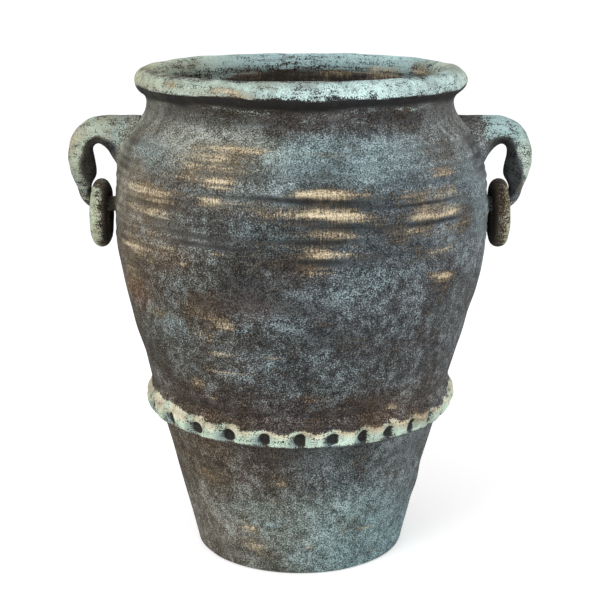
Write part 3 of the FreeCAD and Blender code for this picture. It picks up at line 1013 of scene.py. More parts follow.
@dataclass(frozen=True)
class StudioFloor:
    """A matt white painted board, which keeps the object's soft shadow.

    The camera sees the board a little brighter than it is lit, so that it comes out white round the
    object, while the object gets no more light from it.
    """

    name: str = "matt_white_board"
    colour: str = "#fafafa"
    lift: float = 0.42
    roughness: float = 0.9

    def make(self) -> bpy.types.Material:
        """Build the material.

        Returns:
            The material.
        """
        material = bpy.data.materials.new(self.name)
        material.use_nodes = True
        tree = material.node_tree
        shader = tree.nodes["Principled BSDF"]
        seen = add_node(tree, "ShaderNodeLightPath").outputs["Is Camera Ray"]
        glow = add_node(tree, "ShaderNodeMath", {0: seen, 1: self.lift}, operation="MULTIPLY").outputs[0]
        tree.links.new(glow, shader.inputs["Emission Strength"])
        shader.inputs["Emission Color"].default_value = (1, 1, 1, 1)
        shader.inputs["Base Color"].default_value = (*linear(self.colour), 1)
        shader.inputs["Roughness"].default_value = self.roughness
        shader.inputs["Specular IOR Level"].default_value = 0.0
        return material


@dataclass
class Piece:
    """What every piece shares: how it is handed to the frame once it is shaped and painted."""

    materials: dict[Clay, bpy.types.Material]

    def hand_in(self, piece: bpy.types.Object, node: str, body: str, clay: Clay) -> bpy.types.Object:
        """Dress a piece and let it stand for its node.

        Args:
            piece: the finished mesh.
            node: the frame's node that it replaces.
            body: the body that it rides on.
            clay: its finish.

        Returns:
            The piece.
        """
        piece.data.materials.clear()
        piece.data.materials.append(self.materials[clay])
        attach(piece, body)
        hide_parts(node)
        return piece

    def thrown(self, outline: Profile, name: str, steps: int) -> bpy.types.Object:
        """Turn an outline on the wheel and leave its wall uneven.

        Args:
            outline: the half outline.
            name: the piece's name.
            steps: how many steps the whole turn has.

        Returns:
            The smoothed piece.
        """
        piece = outline.turned(name, steps)
        HAND.shape(piece, 1 - POT.inside(points_of(piece)))
        smooth_faces(piece)
        return piece


@dataclass
class BaseSection(Piece):
    """The lower cone with its floor and drain hole."""

    steps: int = 400
    foot_round: float = 5.0
    floor: float = 20.0
    floor_round: float = 14.0
    floor_reach: float = 120.0
    drain_radius: float = 14.0

    def build(self) -> bpy.types.Object:
        """Throw the cone, and paint it.

        Returns:
            The piece.
        """
        wall = POT.thickness
        corner = self.floor + self.floor_round
        outline = Profile(self.drain_radius, 0)
        outline.line(POT.foot[0] - self.foot_round, 0, 9)
        outline.arc(POT.cone(self.foot_round), self.foot_round, self.foot_round, 1, 1.5)
        outline.line(*POT.seam, 3.2)
        outline.line(POT.seam[0] - wall / 2, POT.seam[1] + POT.key)
        outline.line(POT.seam[0] - wall, POT.seam[1])
        outline.line(POT.cone(corner) - wall, corner, 8)
        outline.arc(POT.cone(corner) - wall - self.floor_round, self.floor, self.floor_round, -1, 4)
        outline.line(self.drain_radius, self.floor, 9)
        outline.line(self.drain_radius, 0, 5)
        piece = self.thrown(outline, "lower_cone", self.steps)
        points = points_of(piece)
        under_floor = (reach_of(points) < self.floor_reach).astype(float)
        BODY_WASH.paint(points, np.maximum(POT.inside(points), under_floor)).lay_on(piece)
        return self.hand_in(piece, "base_section", "pot", Clay.BODY)


@dataclass
class BellySection(Piece):
    """The upper thrown section: belly, shoulder and neck."""

    steps: int = 420

    def build(self) -> bpy.types.Object:
        """Throw the belly, and paint it.

        Returns:
            The piece.
        """
        wall = POT.thickness
        outline = Profile(*POT.seam)
        outline.line(*POT.swell, 3.0)
        outline.arc(*POT.belly, POT.swell_round, 1, 3.0)
        outline.arc(*POT.shoulder, POT.belly_round, 1, 2.2)
        outline.arc(*POT.collar, POT.shoulder_round, 1, 2.2)
        outline.line(*POT.throat, 2.4)
        outline.arc(*POT.neck, POT.throat_round, -1, 2.4)
        outline.line(POT.neck[0] - wall / 2, POT.neck[1] + POT.key)
        outline.line(POT.neck[0] - wall, POT.neck[1])
        outline.arc(POT.throat[0] - wall, POT.throat[1], POT.throat_round, 1, 5)
        outline.line(POT.collar[0] - wall, POT.collar[1], 9)
        outline.arc(POT.shoulder[0] - wall, POT.shoulder[1], POT.shoulder_round, -1, 9)
        outline.arc(POT.belly[0] - wall, POT.belly[1], POT.belly_round, -1, 12)
        outline.arc(POT.swell[0] - wall, POT.swell[1], POT.swell_round, -1, 14)
        outline.line(POT.seam[0] - wall, POT.seam[1], 14)
        outline.line(POT.seam[0] - wall / 2, POT.seam[1] + POT.key)
        outline.line(*POT.seam)
        piece = self.thrown(outline, "belly_wall", self.steps)
        points = points_of(piece)
        BODY_WASH.paint(points, POT.inside(points)).lay_on(piece)
        return self.hand_in(piece, "belly_section", "pot", Clay.BODY)


@dataclass
class RimRoll(Piece):
    """The neck's coil, rolled over into a round rim."""

    steps: int = 420
    roll_reach: float = 199.2
    roll_height: float = 633.2
    roll_radius: float = 16.8
    under_reach: float = 208.0
    under_round: float = 15.5
    roll_starts: Limits = (612, 626)
    inner_reach: Limits = (193, 188)
    pale_angles: Limits = (-19, -5)
    pale_heights: Limits = (613, 620)
    crown_comes: Limits = (52, 72)
    crown_goes: Limits = (112, 104)
    crown_left: Limits = (25, -5)
    crown_wander: float = 2.5
    front_lip: Limits = (102, 112)
    shaded_angles: Limits = (35, 75)
    low_edge: Limits = (8, -8)
    back_turn: Limits = (65, 100)
    right_comes: Limits = (5, 35)
    right_goes: Limits = (110, 80)
    right_lower: float = 7.0
    swells: tuple[Wave, ...] = (Wave(0.5, 5, 1.0), Wave(0.4, 11, 2.0), Wave(0.3, 23))
    swell_up: float = 0.8
    flattened: float = 0.9
    wanders: tuple[Wave, ...] = (Wave(3.0, 7, 1.0), Wave(2.0, 17))
    foot_marks: tuple[float, ...] = (80, 105, 130, 150, 185, 205, 225, 245, 280)
    foot_heights: tuple[float, ...] = (598, 608, 618, 623, 626, 622, 609, 598, 592)
    foot_edge: Limits = (6, -5)
    ochre: tuple[Patch, ...] = (
        Patch(-55, 634, 4, 7, 0.5), Patch(-47, 640, 3.5, 4, 0.75), Patch(-25, 638, 5, 5, 0.7),
        Patch(-19, 634, 4, 5, 0.5), Patch(-33, 634, 6, 5, 0.35), Patch(-62, 630, 5, 6, 0.4),
        Patch(-78, 636, 6, 8, 0.5), Patch(-8, 645, 6, 5, 0.35), Patch(84, 628, 8, 6, 0.5),
        Patch(140, 628, 10, 9, 0.8), Patch(118, 634, 9, 9, 0.7), Patch(205, 628, 9, 6, 0.5),
        Patch(160, 624, 12, 4, 0.6), Patch(238, 640, 9, 6, 0.35),
    )
    soot_and_shade: tuple[Patch, ...] = (
        Patch(-42, 640, 5, 4, 0.45), Patch(-25, 626, 8, 3, 0.6), Patch(2, 628, 14, 3, 0.55),
        Patch(0, 641, 4, 6, 0.35), Patch(25, 625, 14, 3, 0.5), Patch(-55, 636, 3, 5, 0.4),
        Patch(52, 627, 10, 3, 0.5), Patch(120, 640, 9, 6, 0.4), Patch(190, 642, 12, 6, 0.4),
    )
    sprinkled: tuple[Patch, ...] = (
        Patch(-30, 616, 10, 4), Patch(-14, 614, 8, 3.5), Patch(22, 615, 9, 4), Patch(42, 613, 12, 4.5),
        Patch(-55, 612, 8, 4, 0.8), Patch(4, 610, 14, 4, 0.7), Patch(130, 614, 16, 4, 0.8),
        Patch(200, 613, 18, 4, 0.8),
    )

    def under(self, reach: float) -> float:
        """Return the height of the roll's underside at a distance from the axis."""
        return self.roll_height - math.sqrt(self.roll_radius ** 2 - (reach - self.roll_reach) ** 2)

    def uneven(self, piece: bpy.types.Object) -> None:
        """Leave the roll a little uneven, thicker here and pinched there, as a hand rolls it.

        Args:
            piece: the thrown rim.
        """
        points = points_of(piece)
        angle = np.radians(azimuth_of(points))
        on_roll = smooth_step(*self.roll_starts, points[:, 2])
        swell = added_up(self.swells, angle)
        away_out = (reach_of(points) - self.roll_reach) / self.roll_radius
        away_up = (points[:, 2] - self.roll_height) / self.roll_radius
        push_out(points, swell * on_roll * away_out)
        points[:, 2] += (self.swell_up * swell - self.flattened) * on_roll * away_up
        press_points(piece, points)

    def paint(self, piece: bpy.types.Object) -> None:
        """Paint the roll pale, its neck dark and its inner side teal running into brown.

        Args:
            piece: the shaped rim.
        """
        points = points_of(piece)
        azimuth = azimuth_of(points)
        height = points[:, 2]
        reach = reach_of(points)
        round_roll = np.degrees(np.arctan2(height - self.roll_height, reach - self.roll_reach))
        wander = added_up(self.wanders, np.radians(azimuth))
        right = smooth_step(*self.right_comes, azimuth) * smooth_step(*self.right_goes, azimuth)
        inner = smooth_step(*self.inner_reach, reach)
        pale = smooth_step(*self.pale_angles, round_roll + wander + self.right_lower * right)
        pale = np.maximum(pale * smooth_step(*self.pale_heights, height), inner)
        back = smooth_step(*self.back_turn, np.abs(azimuth))
        teal_foot = np.interp(azimuth % FULL_TURN, self.foot_marks, self.foot_heights)
        deep = smooth_step(*self.foot_edge, height - teal_foot) * inner
        crown = smooth_step(*self.crown_comes, round_roll + self.crown_wander * wander)
        crown = crown * smooth_step(*self.crown_goes, round_roll)
        crown = crown * (1 - back) * blend(0.55, 1, smooth_step(*self.crown_left, azimuth))
        dark = rubbed(self.soot_and_shade, azimuth, height)
        thin = 0.35 * dark + 0.6 * crown + 0.25 * smooth_step(*self.low_edge, round_roll)
        thin += 0.9 * smooth_step(*self.front_lip, round_roll) * inner * (1 - back)
        thin += 0.18 * inner * back + 0.8 * deep
        shade = 1.05 - 0.25 * smooth_step(*self.shaded_angles, round_roll) * (1 - back)
        sprinkled = rubbed(self.sprinkled, azimuth, height)
        flecks = np.maximum(0, 1.15 * sprinkled - 0.8)
        paint = BODY_WASH.paint(points, np.zeros(len(points)))
        paint.glaze = toned(TRIM_TONES, azimuth, height) * shade[:, None]
        paint.paleness = pale - thin + (1 - pale) * flecks
        paint.ochre = rubbed(self.ochre, azimuth, height) * pale + 0.35 * deep * back
        paint.teal = 0.35 * inner * back * (1 - deep)
        paint.soot_and_shade = np.where(pale > 0.5, 0.75 * deep + 0.2 * dark, paint.soot_and_shade * (1 - 0.75 * sprinkled))
        paint.lay_on(piece)

    def build(self) -> bpy.types.Object:
        """Roll the rim, and paint it.

        Returns:
            The piece.
        """
        neck_reach, neck_height = POT.neck
        mouth = neck_reach - POT.thickness
        outline = Profile(*POT.neck)
        outline.arc(self.under_reach, self.under(self.under_reach), self.under_round, -1, 1.6)
        outline.arc(self.roll_reach, self.roll_height + self.roll_radius, self.roll_radius, 1, 1.7)
        outline.arc(mouth, self.under(mouth), self.roll_radius, 1, 1.9)
        outline.line(mouth, neck_height, 4)
        outline.line(neck_reach - POT.thickness / 2, neck_height + POT.key)
        outline.line(*POT.neck)
        piece = outline.turned("rolled_rim", self.steps)
        HAND.shape(piece, 1 - POT.inside(points_of(piece)))
        self.uneven(piece)
        smooth_faces(piece)
        self.paint(piece)
        return self.hand_in(piece, "rim_roll", "pot", Clay.TRIM)


@dataclass
class ThumbBand(Piece):
    """The coil laid over the seam and pressed all round with a thumb."""

    steps: int = 720
    presses: int = 28
    first_turn: float = -6.95
    strays: tuple[Wave, ...] = (Wave(4.07, 1, math.radians(103.5)), Wave(3.42, 2, math.radians(115.4)))
    foot: Corner = (189.2, 194.0)
    belly: Corner = (208.5, 209.0)
    brow: Corner = (204.5, 223.0)
    top: Corner = (201.0, 238.0)
    belly_round: float = 15.5
    brow_round: float = 12.0
    top_round: float = 26.0
    press_height: float = 208.5
    press_half_width: float = 13.3
    press_half_height: float = 11.0
    press_depth: float = 8.5
    press_edge: Limits = (1.12, 0.35)
    wider: Wave = Wave(0.12, 2.3)
    taller: Wave = Wave(0.10, 3.1, 1)
    ridge_height: float = 220.0
    ridge_climb: float = 0.6
    ridge_width: float = 7.0
    ridge_size: float = 1.6
    bulge_width: float = 8.0
    bulge_size: float = 1.1
    lumps: tuple[Wave, ...] = (Wave(0.5, 17, 1),)
    slanting_lumps: Wave = Wave(0.4, 41)
    lump_slant: float = 205.0
    ridge_lumps: Wave = Wave(0.8, 9)
    crest_height: float = 218.6
    crest_wave: float = 1.4
    crest_edge: Limits = (4.5, -3.0)
    ripples: tuple[Wave, ...] = (Wave(0.7, 13), Wave(0.5, 31, 2))
    dark_depths: Limits = (0.42, 0.78)
    shaded_press_sides: Limits = (0.56, 0.34)
    teal_turn: float = 62.0
    teal_heights: Limits = (217, 209)
    cream_heights: Limits = (208, 217)
    ochre_heights: Limits = (212, 219)
    soot_heights: Limits = (236, 218)
    outer_reach: Limits = (195.0, 200.0)
    outer_height: Limits = (192.0, 197.0)
    pale_above_lip_shadow: Limits = (196.5, 201.5)
    climb_marks: tuple[float, ...] = (
        0, 20, 34, 50, 60, 72, 82, 120, 180, 240, 278, 303, 323, 336, 350, 360,
    )
    climb_rises: tuple[float, ...] = (
        1.0, 1.5, 4.0, 1.5, 1.0, 4.0, 9.0, 7.0, 5.0, 8.0, 13.0, 10.0, 5.5, 2.6, 1.4, 1.0,
    )
    cream: str = "#dcd6bb"
    mint: str = "#b1cab2"
    tan_rubs: tuple[Patch, ...] = (
        Patch(46, 216, 12, 7, 0.45), Patch(30, 219, 7, 4, 0.35), Patch(-6, 213, 5, 4, 0.4),
        Patch(12, 217, 8, 3, 0.35), Patch(-60, 218, 9, 5, 0.3), Patch(150, 214, 12, 5, 0.4),
    )

    def climb(self, azimuth: np.ndarray) -> np.ndarray:
        """Return how much higher than in front the coil's crest runs, as it climbs towards the sides."""
        return np.interp(azimuth % FULL_TURN, self.climb_marks, self.climb_rises)

    def press_azimuths(self) -> np.ndarray:
        """Return the azimuth of each press, in degrees."""
        steady = np.arange(self.presses) * FULL_TURN / self.presses
        return steady + self.first_turn + added_up(self.strays, np.radians(steady))

    def phase(self, azimuth: np.ndarray) -> np.ndarray:
        """Return how far each place is past its press, in degrees of one pitch.

        Args:
            azimuth: degrees from the front.

        Returns:
            The turn, from 0 to 360.
        """
        marks = self.press_azimuths()
        marks = np.concatenate([marks - FULL_TURN, marks, marks + FULL_TURN])
        return np.interp(azimuth, marks, np.arange(len(marks)) * FULL_TURN) % FULL_TURN

    def bowls(self, azimuth: np.ndarray, height: np.ndarray) -> tuple[np.ndarray, np.ndarray]:
        """Work out where the thumb went in.

        Args:
            azimuth: degrees from the front.
            height: millimetres above the floor.

        Returns:
            How deep each place lies in its press, from 0 to 1, and its side, from -1 left to 1 right.
        """
        depth = np.zeros_like(azimuth)
        side = np.zeros_like(azimuth)
        for index, mark in enumerate(self.press_azimuths()):
            wide = self.press_half_width * (1 + self.wider.at(index))
            tall = self.press_half_height * (1 + self.taller.at(index))
            across = np.radians(turn_between(azimuth, mark)) * self.belly[0] / wide
            up = (height - self.press_height) / tall
            here = smooth_step(*self.press_edge, np.sqrt(across ** 2 + up ** 2))
            side = np.where(here > depth, np.clip(across, -1, 1), side)
            depth = np.maximum(depth, here)
        return depth, side

    def press(self, piece: bpy.types.Object) -> dict[str, np.ndarray]:
        """Press the coil with the thumb, and raise the clay that the thumb pushed up.

        Args:
            piece: the turned coil.

        Returns:
            What the paint follows: depth, side, wave, azimuth, height and reach for each vertex.
        """
        points = points_of(piece)
        azimuth = azimuth_of(points)
        height = points[:, 2].copy()
        reach = reach_of(points)
        outer = smooth_step(*self.outer_reach, reach) * smooth_step(*self.outer_height, height)
        depth, side = self.bowls(azimuth, height)
        wave = np.cos(np.radians(self.phase(azimuth)))
        angle = np.radians(azimuth)
        ridge = self.ridge_height + self.ridge_climb * self.climb(azimuth)
        near_ridge = bell(ridge, self.ridge_width, height) * outer
        between_presses = (1 - depth) * (1 - wave) / 2
        push = self.ridge_size * near_ridge * (0.6 + 0.4 * wave) - self.press_depth * depth
        push += self.bulge_size * between_presses * bell(self.belly[1], self.bulge_width, height)
        push += added_up(self.lumps, angle) + self.slanting_lumps.at(angle + height / self.lump_slant)
        push_out(points, push * outer)
        points[:, 2] += near_ridge * (self.crest_wave * wave + self.ridge_lumps.at(angle))
        press_points(piece, points)
        return {
            "depth": depth, "side": side, "wave": wave,
            "azimuth": azimuth, "height": height, "reach": reach,
        }

    def paint(self, piece: bpy.types.Object, told: dict[str, np.ndarray]) -> None:
        """Paint the coil pale, its presses dark, its underside below the lip in painted shadow and its upper
        edge like the pot.

        Args:
            piece: the pressed coil.
            told: what press told of each vertex.
        """
        azimuth, height, depth = told["azimuth"], told["height"], told["depth"]
        angle = np.radians(azimuth)
        crest = self.crest_height + self.climb(azimuth) + self.crest_wave * 0.5 * told["wave"]
        above_crest = height - crest - added_up(self.ripples, angle)
        # Below the lip the pale stops, and the band's underside is painted shadow
        pale = smooth_step(*self.crest_edge, above_crest) * smooth_step(*self.pale_above_lip_shadow, height)
        # Dark paint in the presses, kept to their left walls and middle as painted shade and left off their
        # right walls as painted light from the left
        pressed = smooth_step(*self.dark_depths, depth) * smooth_step(*self.shaded_press_sides, told["side"])
        # The flank left of each press is teal and a little darker, partly painted shade, and the flank to
        # its right is cream, partly painted light
        left = np.clip(np.cos(np.radians(self.phase(azimuth) + self.teal_turn)), 0, 1)
        mint = 0.45 * toned(TRIM_TONES, azimuth, height) + 0.55 * np.array(linear(self.mint))
        share = blend(0.15, 0.9, smooth_step(*self.cream_heights, height)) * (1 - 0.75 * left)
        share = share[:, None]
        place = (told["reach"] * np.sin(angle), -told["reach"] * np.cos(angle), height)
        paint = BODY_WASH.paint(np.stack(place, axis=1), np.zeros(len(azimuth)))
        paint.glaze = mint * (1 - share) + np.array(linear(self.cream)) * share
        paint.paleness = 1.05 * pale - 1.4 * pressed - 0.8 * (1 - pale) - 0.25 * left * pale
        paint.ochre = 0.1 + 0.25 * pale * smooth_step(*self.ochre_heights, height) * (1 - left)
        paint.ochre = paint.ochre + rubbed(self.tan_rubs, azimuth, height)
        paint.teal = 0.05 + 0.75 * left * pale * smooth_step(*self.teal_heights, height)
        # Dark paint in the presses with painted shade on their left walls, painted shadow under the lip, and
        # dark above the crest
        paint.soot_and_shade = np.maximum(0.8 * pressed, 0.5 * (1 - pale) * smooth_step(*self.soot_heights, height))
        paint.lay_on(piece)

    def build(self) -> bpy.types.Object:
        """Lay the coil on, press it and paint it.

        Returns:
            The piece.
        """
        outline = Profile(*self.foot)
        outline.arc(*self.belly, self.belly_round, 1, 1.3)
        outline.arc(*self.brow, self.brow_round, 1, 1.1)
        outline.arc(*self.top, self.top_round, -1, 1.4)
        outline.line(*POT.seam, 6)
        outline.line(*self.foot, 6)
        piece = outline.turned("pressed_band", self.steps)
        told = self.press(piece)
        HAND.shape(piece, np.ones(len(told["height"])))
        smooth_faces(piece, 60)
        self.paint(piece, told)
        return self.hand_in(piece, "thumb_band", "pot", Clay.TRIM)


@dataclass(frozen=True)
class Station:
    """One oval section of a pulled handle: its middle, its half sizes and how far it leans outwards."""

    reach: float
    height: float
    thick: float
    wide: float
    lean: float


@dataclass(frozen=True)
class LoopRub:
    """A rub on a handle's loop: its angle round the loop, where it fades and where it is full."""

    amount: float
    angle: float
    edge: float
    full: float
    reach: Limits = (-1.0, 0.0)

    def strength(self, round_loop: np.ndarray, from_middle: np.ndarray) -> np.ndarray:
        """Return how much lies at each angle round the loop and each distance from its middle."""
        along = smooth_step(self.edge, self.full, np.abs(round_loop - self.angle))
        return self.amount * along * smooth_step(*self.reach, from_middle)


def strongest(rubs: tuple[LoopRub, ...], round_loop: np.ndarray, from_middle: np.ndarray) -> np.ndarray:
    """Return the strongest of some rubs at each place."""
    return np.max([rub.strength(round_loop, from_middle) for rub in rubs], axis=0)


@dataclass(frozen=True)
class LoopFinish:
    """How one handle's loop is washed: its pale colours, its root, its dark inner side and its rubs."""

    low: str
    top: str
    root_reach: float
    hollow_reaches: tuple[float, ...]
    tan: tuple[LoopRub, ...]
    teal: tuple[LoopRub, ...]


LOOP_FINISHES = {
    Side.LEFT: LoopFinish(
        "#acb39d", "#b3bfae", 240.0, (36, 34, 30, 29, 29, 28, 27, 23),
        (LoopRub(0.6, 40, 50, 15, (36, 46)), LoopRub(0.4, 100, 22, 8)),
        (LoopRub(0.55, 118, 30, 8), LoopRub(0.5, -35, 40, 10)),
    ),
    Side.RIGHT: LoopFinish(
        "#b2c2b4", "#b0cecd", 252.0, (60, 50, 38, 31, 29, 27, 26, 22),
        (LoopRub(0.62, -30, 34, 10, (38, 46)),),
        (LoopRub(0.3, 85, 60, 20),),
    ),
}


@dataclass
class PulledHandle(Piece):
    """A loop pulled from one strap of clay: wide at its upper root and thin where the ring hangs."""

    side: Side = Side.RIGHT
    corners: int = 16
    loop_middle: Corner = (258.5, 523.0)
    hollow_marks: tuple[float, ...] = (-120, -60, -25, 0, 25, 60, 90, 130)
    limb_heights: Limits = (518, 474)
    lumpy_heights: Limits = (500, 522)
    broad_lumps: float = 0.45
    fine_lumps: float = 0.3
    hollow_edge: Limits = (5.0, -5.0)
    turned_in: Limits = (-0.15, -0.5)
    top_angles: Limits = (20, 70)
    root_fade: float = 11.0
    root_slant: float = 0.25
    stations: tuple[Station, ...] = (
        Station(222.0, 547.0, 42.0, 32.0, -20), Station(229.6, 552.2, 35.8, 28.7, -17),
        Station(239.3, 558.0, 28.9, 25.1, -14), Station(249.0, 563.3, 23.2, 22.5, -10),
        Station(259.6, 566.2, 19.8, 20.9, -1), Station(269.8, 565.8, 17.7, 19.8, 14),
        Station(279.8, 559.5, 17.2, 19.5, 32), Station(286.6, 550.0, 17.3, 19.5, 55),
        Station(289.4, 531.5, 18.2, 19.5, 87.5), Station(285.6, 514.5, 18.0, 18.8, 101.5),
        Station(284.0, 504.4, 16.6, 17.3, 95), Station(286.0, 497.4, 11.9, 14.5, 92),
        Station(285.4, 490.0, 9.0, 12.0, 90), Station(283.7, 481.6, 9.0, 12.0, 112.5),
        Station(279.0, 474.5, 9.0, 12.0, 135), Station(271.9, 469.8, 9.0, 12.0, 157.5),
        Station(263.5, 468.1, 9.0, 12.0, 180), Station(251.5, 468.1, 10.0, 13.0, 180),
        Station(238.5, 468.1, 10.0, 13.0, 180),
    )

    def pull(self) -> bpy.types.Object:
        """Set an oval at each station and bridge each to the one before.

        Returns:
            The handle before it is softened.
        """
        pick_nothing()
        first = True
        for station in self.stations:
            place = (station.reach * MM * self.side.value, 0, station.height * MM)
            turn = math.radians(90 - station.lean) * self.side.value
            bpy.ops.mesh.primitive_circle_add(vertices=self.corners, radius=MM, location=place)
            if first:
                bpy.ops.object.transform_apply(location=True, rotation=True, scale=True)
                bpy.ops.object.mode_set(mode="EDIT")
                bpy.ops.mesh.select_mode(type="EDGE")
                first = False
            bpy.ops.transform.resize(value=(station.thick, station.wide, 1), center_override=place)
            bpy.ops.transform.rotate(value=turn, orient_axis="Y", center_override=place)
        bpy.ops.object.mode_set(mode="OBJECT")
        piece = named(f"pulled_handle_{self.side.word}")
        for index in range(len(self.stations) - 1):
            low = index * self.corners
            bpy.ops.object.mode_set(mode="EDIT")
            bpy.ops.mesh.select_all(action="DESELECT")
            bpy.ops.object.mode_set(mode="OBJECT")
            for edge in piece.data.edges:
                edge.select = all(low <= end < low + 2 * self.corners for end in edge.vertices)
            bpy.ops.object.mode_set(mode="EDIT")
            bpy.ops.mesh.bridge_edge_loops()
        bpy.ops.object.mode_set(mode="EDIT")
        bpy.ops.mesh.select_all(action="DESELECT")
        bpy.ops.mesh.select_non_manifold(
            extend=False, use_wire=False, use_multi_face=False, use_non_contiguous=False, use_verts=False,
        )
        bpy.ops.transform.edge_crease(value=1.0)
        bpy.ops.mesh.fill_holes(sides=0)
        bpy.ops.mesh.select_all(action="SELECT")
        bpy.ops.mesh.normals_make_consistent(inside=False)
        bpy.ops.object.mode_set(mode="OBJECT")
        return piece

    def soften(self, piece: bpy.types.Object) -> None:
        """Round the strap by subdivision, and leave it a little lumpy.

        Args:
            piece: the pulled handle.
        """
        rounding = piece.modifiers.new("Rounding", "SUBSURF")
        rounding.levels = 3
        rounding.render_levels = 3
        bpy.ops.object.modifier_apply(modifier=rounding.name)
        points = points_of(piece)
        facing = facing_of(piece)
        across, along, up = points.T
        lump = self.broad_lumps * np.sin(up / 7.0 + 1.3) * np.sin(along / 8.0 + across / 11.0)
        lump += self.fine_lumps * np.sin(across / 4.5) * np.sin(up / 4.0 + 0.7)
        above_limb = smooth_step(*self.lumpy_heights, up)
        press_points(piece, points + facing * (lump * above_limb)[:, None])

    def paint(self, piece: bpy.types.Object) -> None:
        """Paint the loop pale outside and near black inside, with its root like the pot.

        Args:
            piece: the shaped handle.
        """
        finish = LOOP_FINISHES[self.side]
        points = points_of(piece)
        facing = facing_of(piece)
        outwards = points[:, 0] * self.side.value
        across = outwards - self.loop_middle[0]
        up = points[:, 2] - self.loop_middle[1]
        from_middle = np.hypot(across, up)
        round_loop = np.degrees(np.arctan2(up, across))
        edge = np.interp(round_loop, self.hollow_marks, finish.hollow_reaches)
        turned_out = facing[:, 0] * self.side.value * across + facing[:, 2] * up
        turned_out = turned_out / np.maximum(from_middle, 1)
        hollow = smooth_step(*self.hollow_edge, from_middle - edge)
        hollow = np.maximum(hollow, smooth_step(*self.turned_in, turned_out))
        root = (finish.root_reach + self.root_fade, finish.root_reach - self.root_fade)
        root = smooth_step(*root, outwards + self.root_slant * up)
        limb = smooth_step(*self.limb_heights, points[:, 2])
        top = smooth_step(*self.top_angles, round_loop)[:, None]
        paint = BODY_WASH.paint(points, np.zeros(len(points)))
        paint.glaze = np.array(linear(finish.low)) * (1 - top) + np.array(linear(finish.top)) * top
        paint.paleness = 0.88 - 1.4 * hollow - 1.2 * root - 0.6 * limb
        paint.ochre = strongest(finish.tan, round_loop, from_middle) * (1 - root) * (1 - limb * 0.4)
        paint.teal = 0.1 + strongest(finish.teal, round_loop, from_middle) * (1 - root)
        paint.soot_and_shade = np.maximum(0.8 * hollow * (1 - 0.7 * root), 0.4 * limb)
        paint.lay_on(piece)

    def build(self) -> bpy.types.Object:
        """Pull the handle, and paint it.

        Returns:
            The piece.
        """
        piece = self.pull()
        self.soften(piece)
        smooth_faces(piece, 70)
        self.paint(piece)
        return self.hand_in(piece, f"handle_{self.side.word}", "pot", Clay.TRIM)


@dataclass(frozen=True)
class RingFinish:
    """How one ring is washed, from its side towards the pot (-1), painted in shade, to its outer side (1).
    """

    pale_out: Limits
    pale_heights: Limits
    pale_least: float
    pale_more: float
    tan_amount: float
    tan_comes: Limits
    tan_goes: Limits
    tan_heights: Limits = ENDLESS


RING_FINISHES = {
    Side.LEFT: RingFinish((-0.9, 0.7), (504, 470), 0.35, 0.85, 0.45, (-0.4, 0.1), (0.8, 0.25), (484, 465)),
    Side.RIGHT: RingFinish((-0.1, 0.7), (505, 425), 0.3, 0.6, 0.35, (0.0, 0.4), (0.9, 0.5)),
}


@dataclass
class ClayRing(Piece):
    """A loose ring rolled from a rope of clay, hanging on the handle's lower limb."""

    side: Side = Side.RIGHT
    reach: float = 263.5
    pivot_height: float = 490.0
    middle_radius: float = 34.3
    tube_radius: float = 11.8
    major_steps: int = 128
    minor_steps: int = 40
    crown: Limits = (0.6, 1.0)
    thinned: float = 0.7
    slimmer: float = 0.15
    slow_lumps: Wave = Wave(0.28, 3, 0.8)
    fine_lumps: Wave = Wave(0.22, 7)
    lump_slant: float = 42.0
    teal_out: Limits = (0.5, 0.95)
    # Where the painted shade on the side towards the pot begins and where it is full
    shade_towards_pot: Limits = (0.0, -0.9)
    ground: str = "#51463a"
    glaze: str = "#b4bca2"

    def build(self) -> bpy.types.Object:
        """Roll the ring, leave it uneven and paint it.

        Returns:
            The piece.
        """
        pick_nothing()
        middle_height = self.pivot_height - self.middle_radius
        bpy.ops.mesh.primitive_torus_add(
            major_segments=self.major_steps, minor_segments=self.minor_steps,
            major_radius=self.middle_radius * MM, minor_radius=self.tube_radius * MM,
            location=(self.reach * MM * self.side.value, 0, middle_height * MM),
            rotation=(0, math.pi / 2, 0),
        )
        bpy.ops.object.transform_apply(location=True, rotation=True, scale=True)
        piece = named(f"clay_ring_{self.side.word}")
        points = points_of(piece)
        angle = np.arctan2(points[:, 1], points[:, 2] - middle_height)
        lump = self.slow_lumps.at(angle) + self.fine_lumps.at(angle + points[:, 0] / self.lump_slant)
        lump = lump - self.slimmer - self.thinned * smooth_step(*self.crown, np.cos(angle))
        press_points(piece, points + facing_of(piece) * lump[:, None])
        smooth_faces(piece, 70)
        self.paint(piece)
        return self.hand_in(piece, f"ring_{self.side.word}", f"ring_{self.side.word}", Clay.TRIM)

    def paint(self, piece: bpy.types.Object) -> None:
        """Paint the ring pale on the side away from the pot and dark brown towards it, as painted shade.

        Args:
            piece: the shaped ring.
        """
        finish = RING_FINISHES[self.side]
        points = points_of(piece)
        outward = (points[:, 0] * self.side.value - self.reach) / self.tube_radius
        height = points[:, 2]
        lower = finish.pale_least + finish.pale_more * smooth_step(*finish.pale_heights, height)
        pale = smooth_step(*finish.pale_out, outward) * lower
        tan = finish.tan_amount * smooth_step(*finish.tan_goes, outward)
        tan = tan * smooth_step(*finish.tan_comes, outward) * smooth_step(*finish.tan_heights, height)
        paint = Paint(
            ground=plain(self.ground, len(points)),
            glaze=plain(self.glaze, len(points)),
            ochre=tan,
            teal=0.1 + 0.3 * pale * smooth_step(*self.teal_out, outward),
            # Dark brown on the side towards the pot is painted shade
            soot_and_shade=0.75 * smooth_step(*self.shade_towards_pot, outward),
            paleness=1.1 * pale - 0.2,
        )
        paint.lay_on(piece)


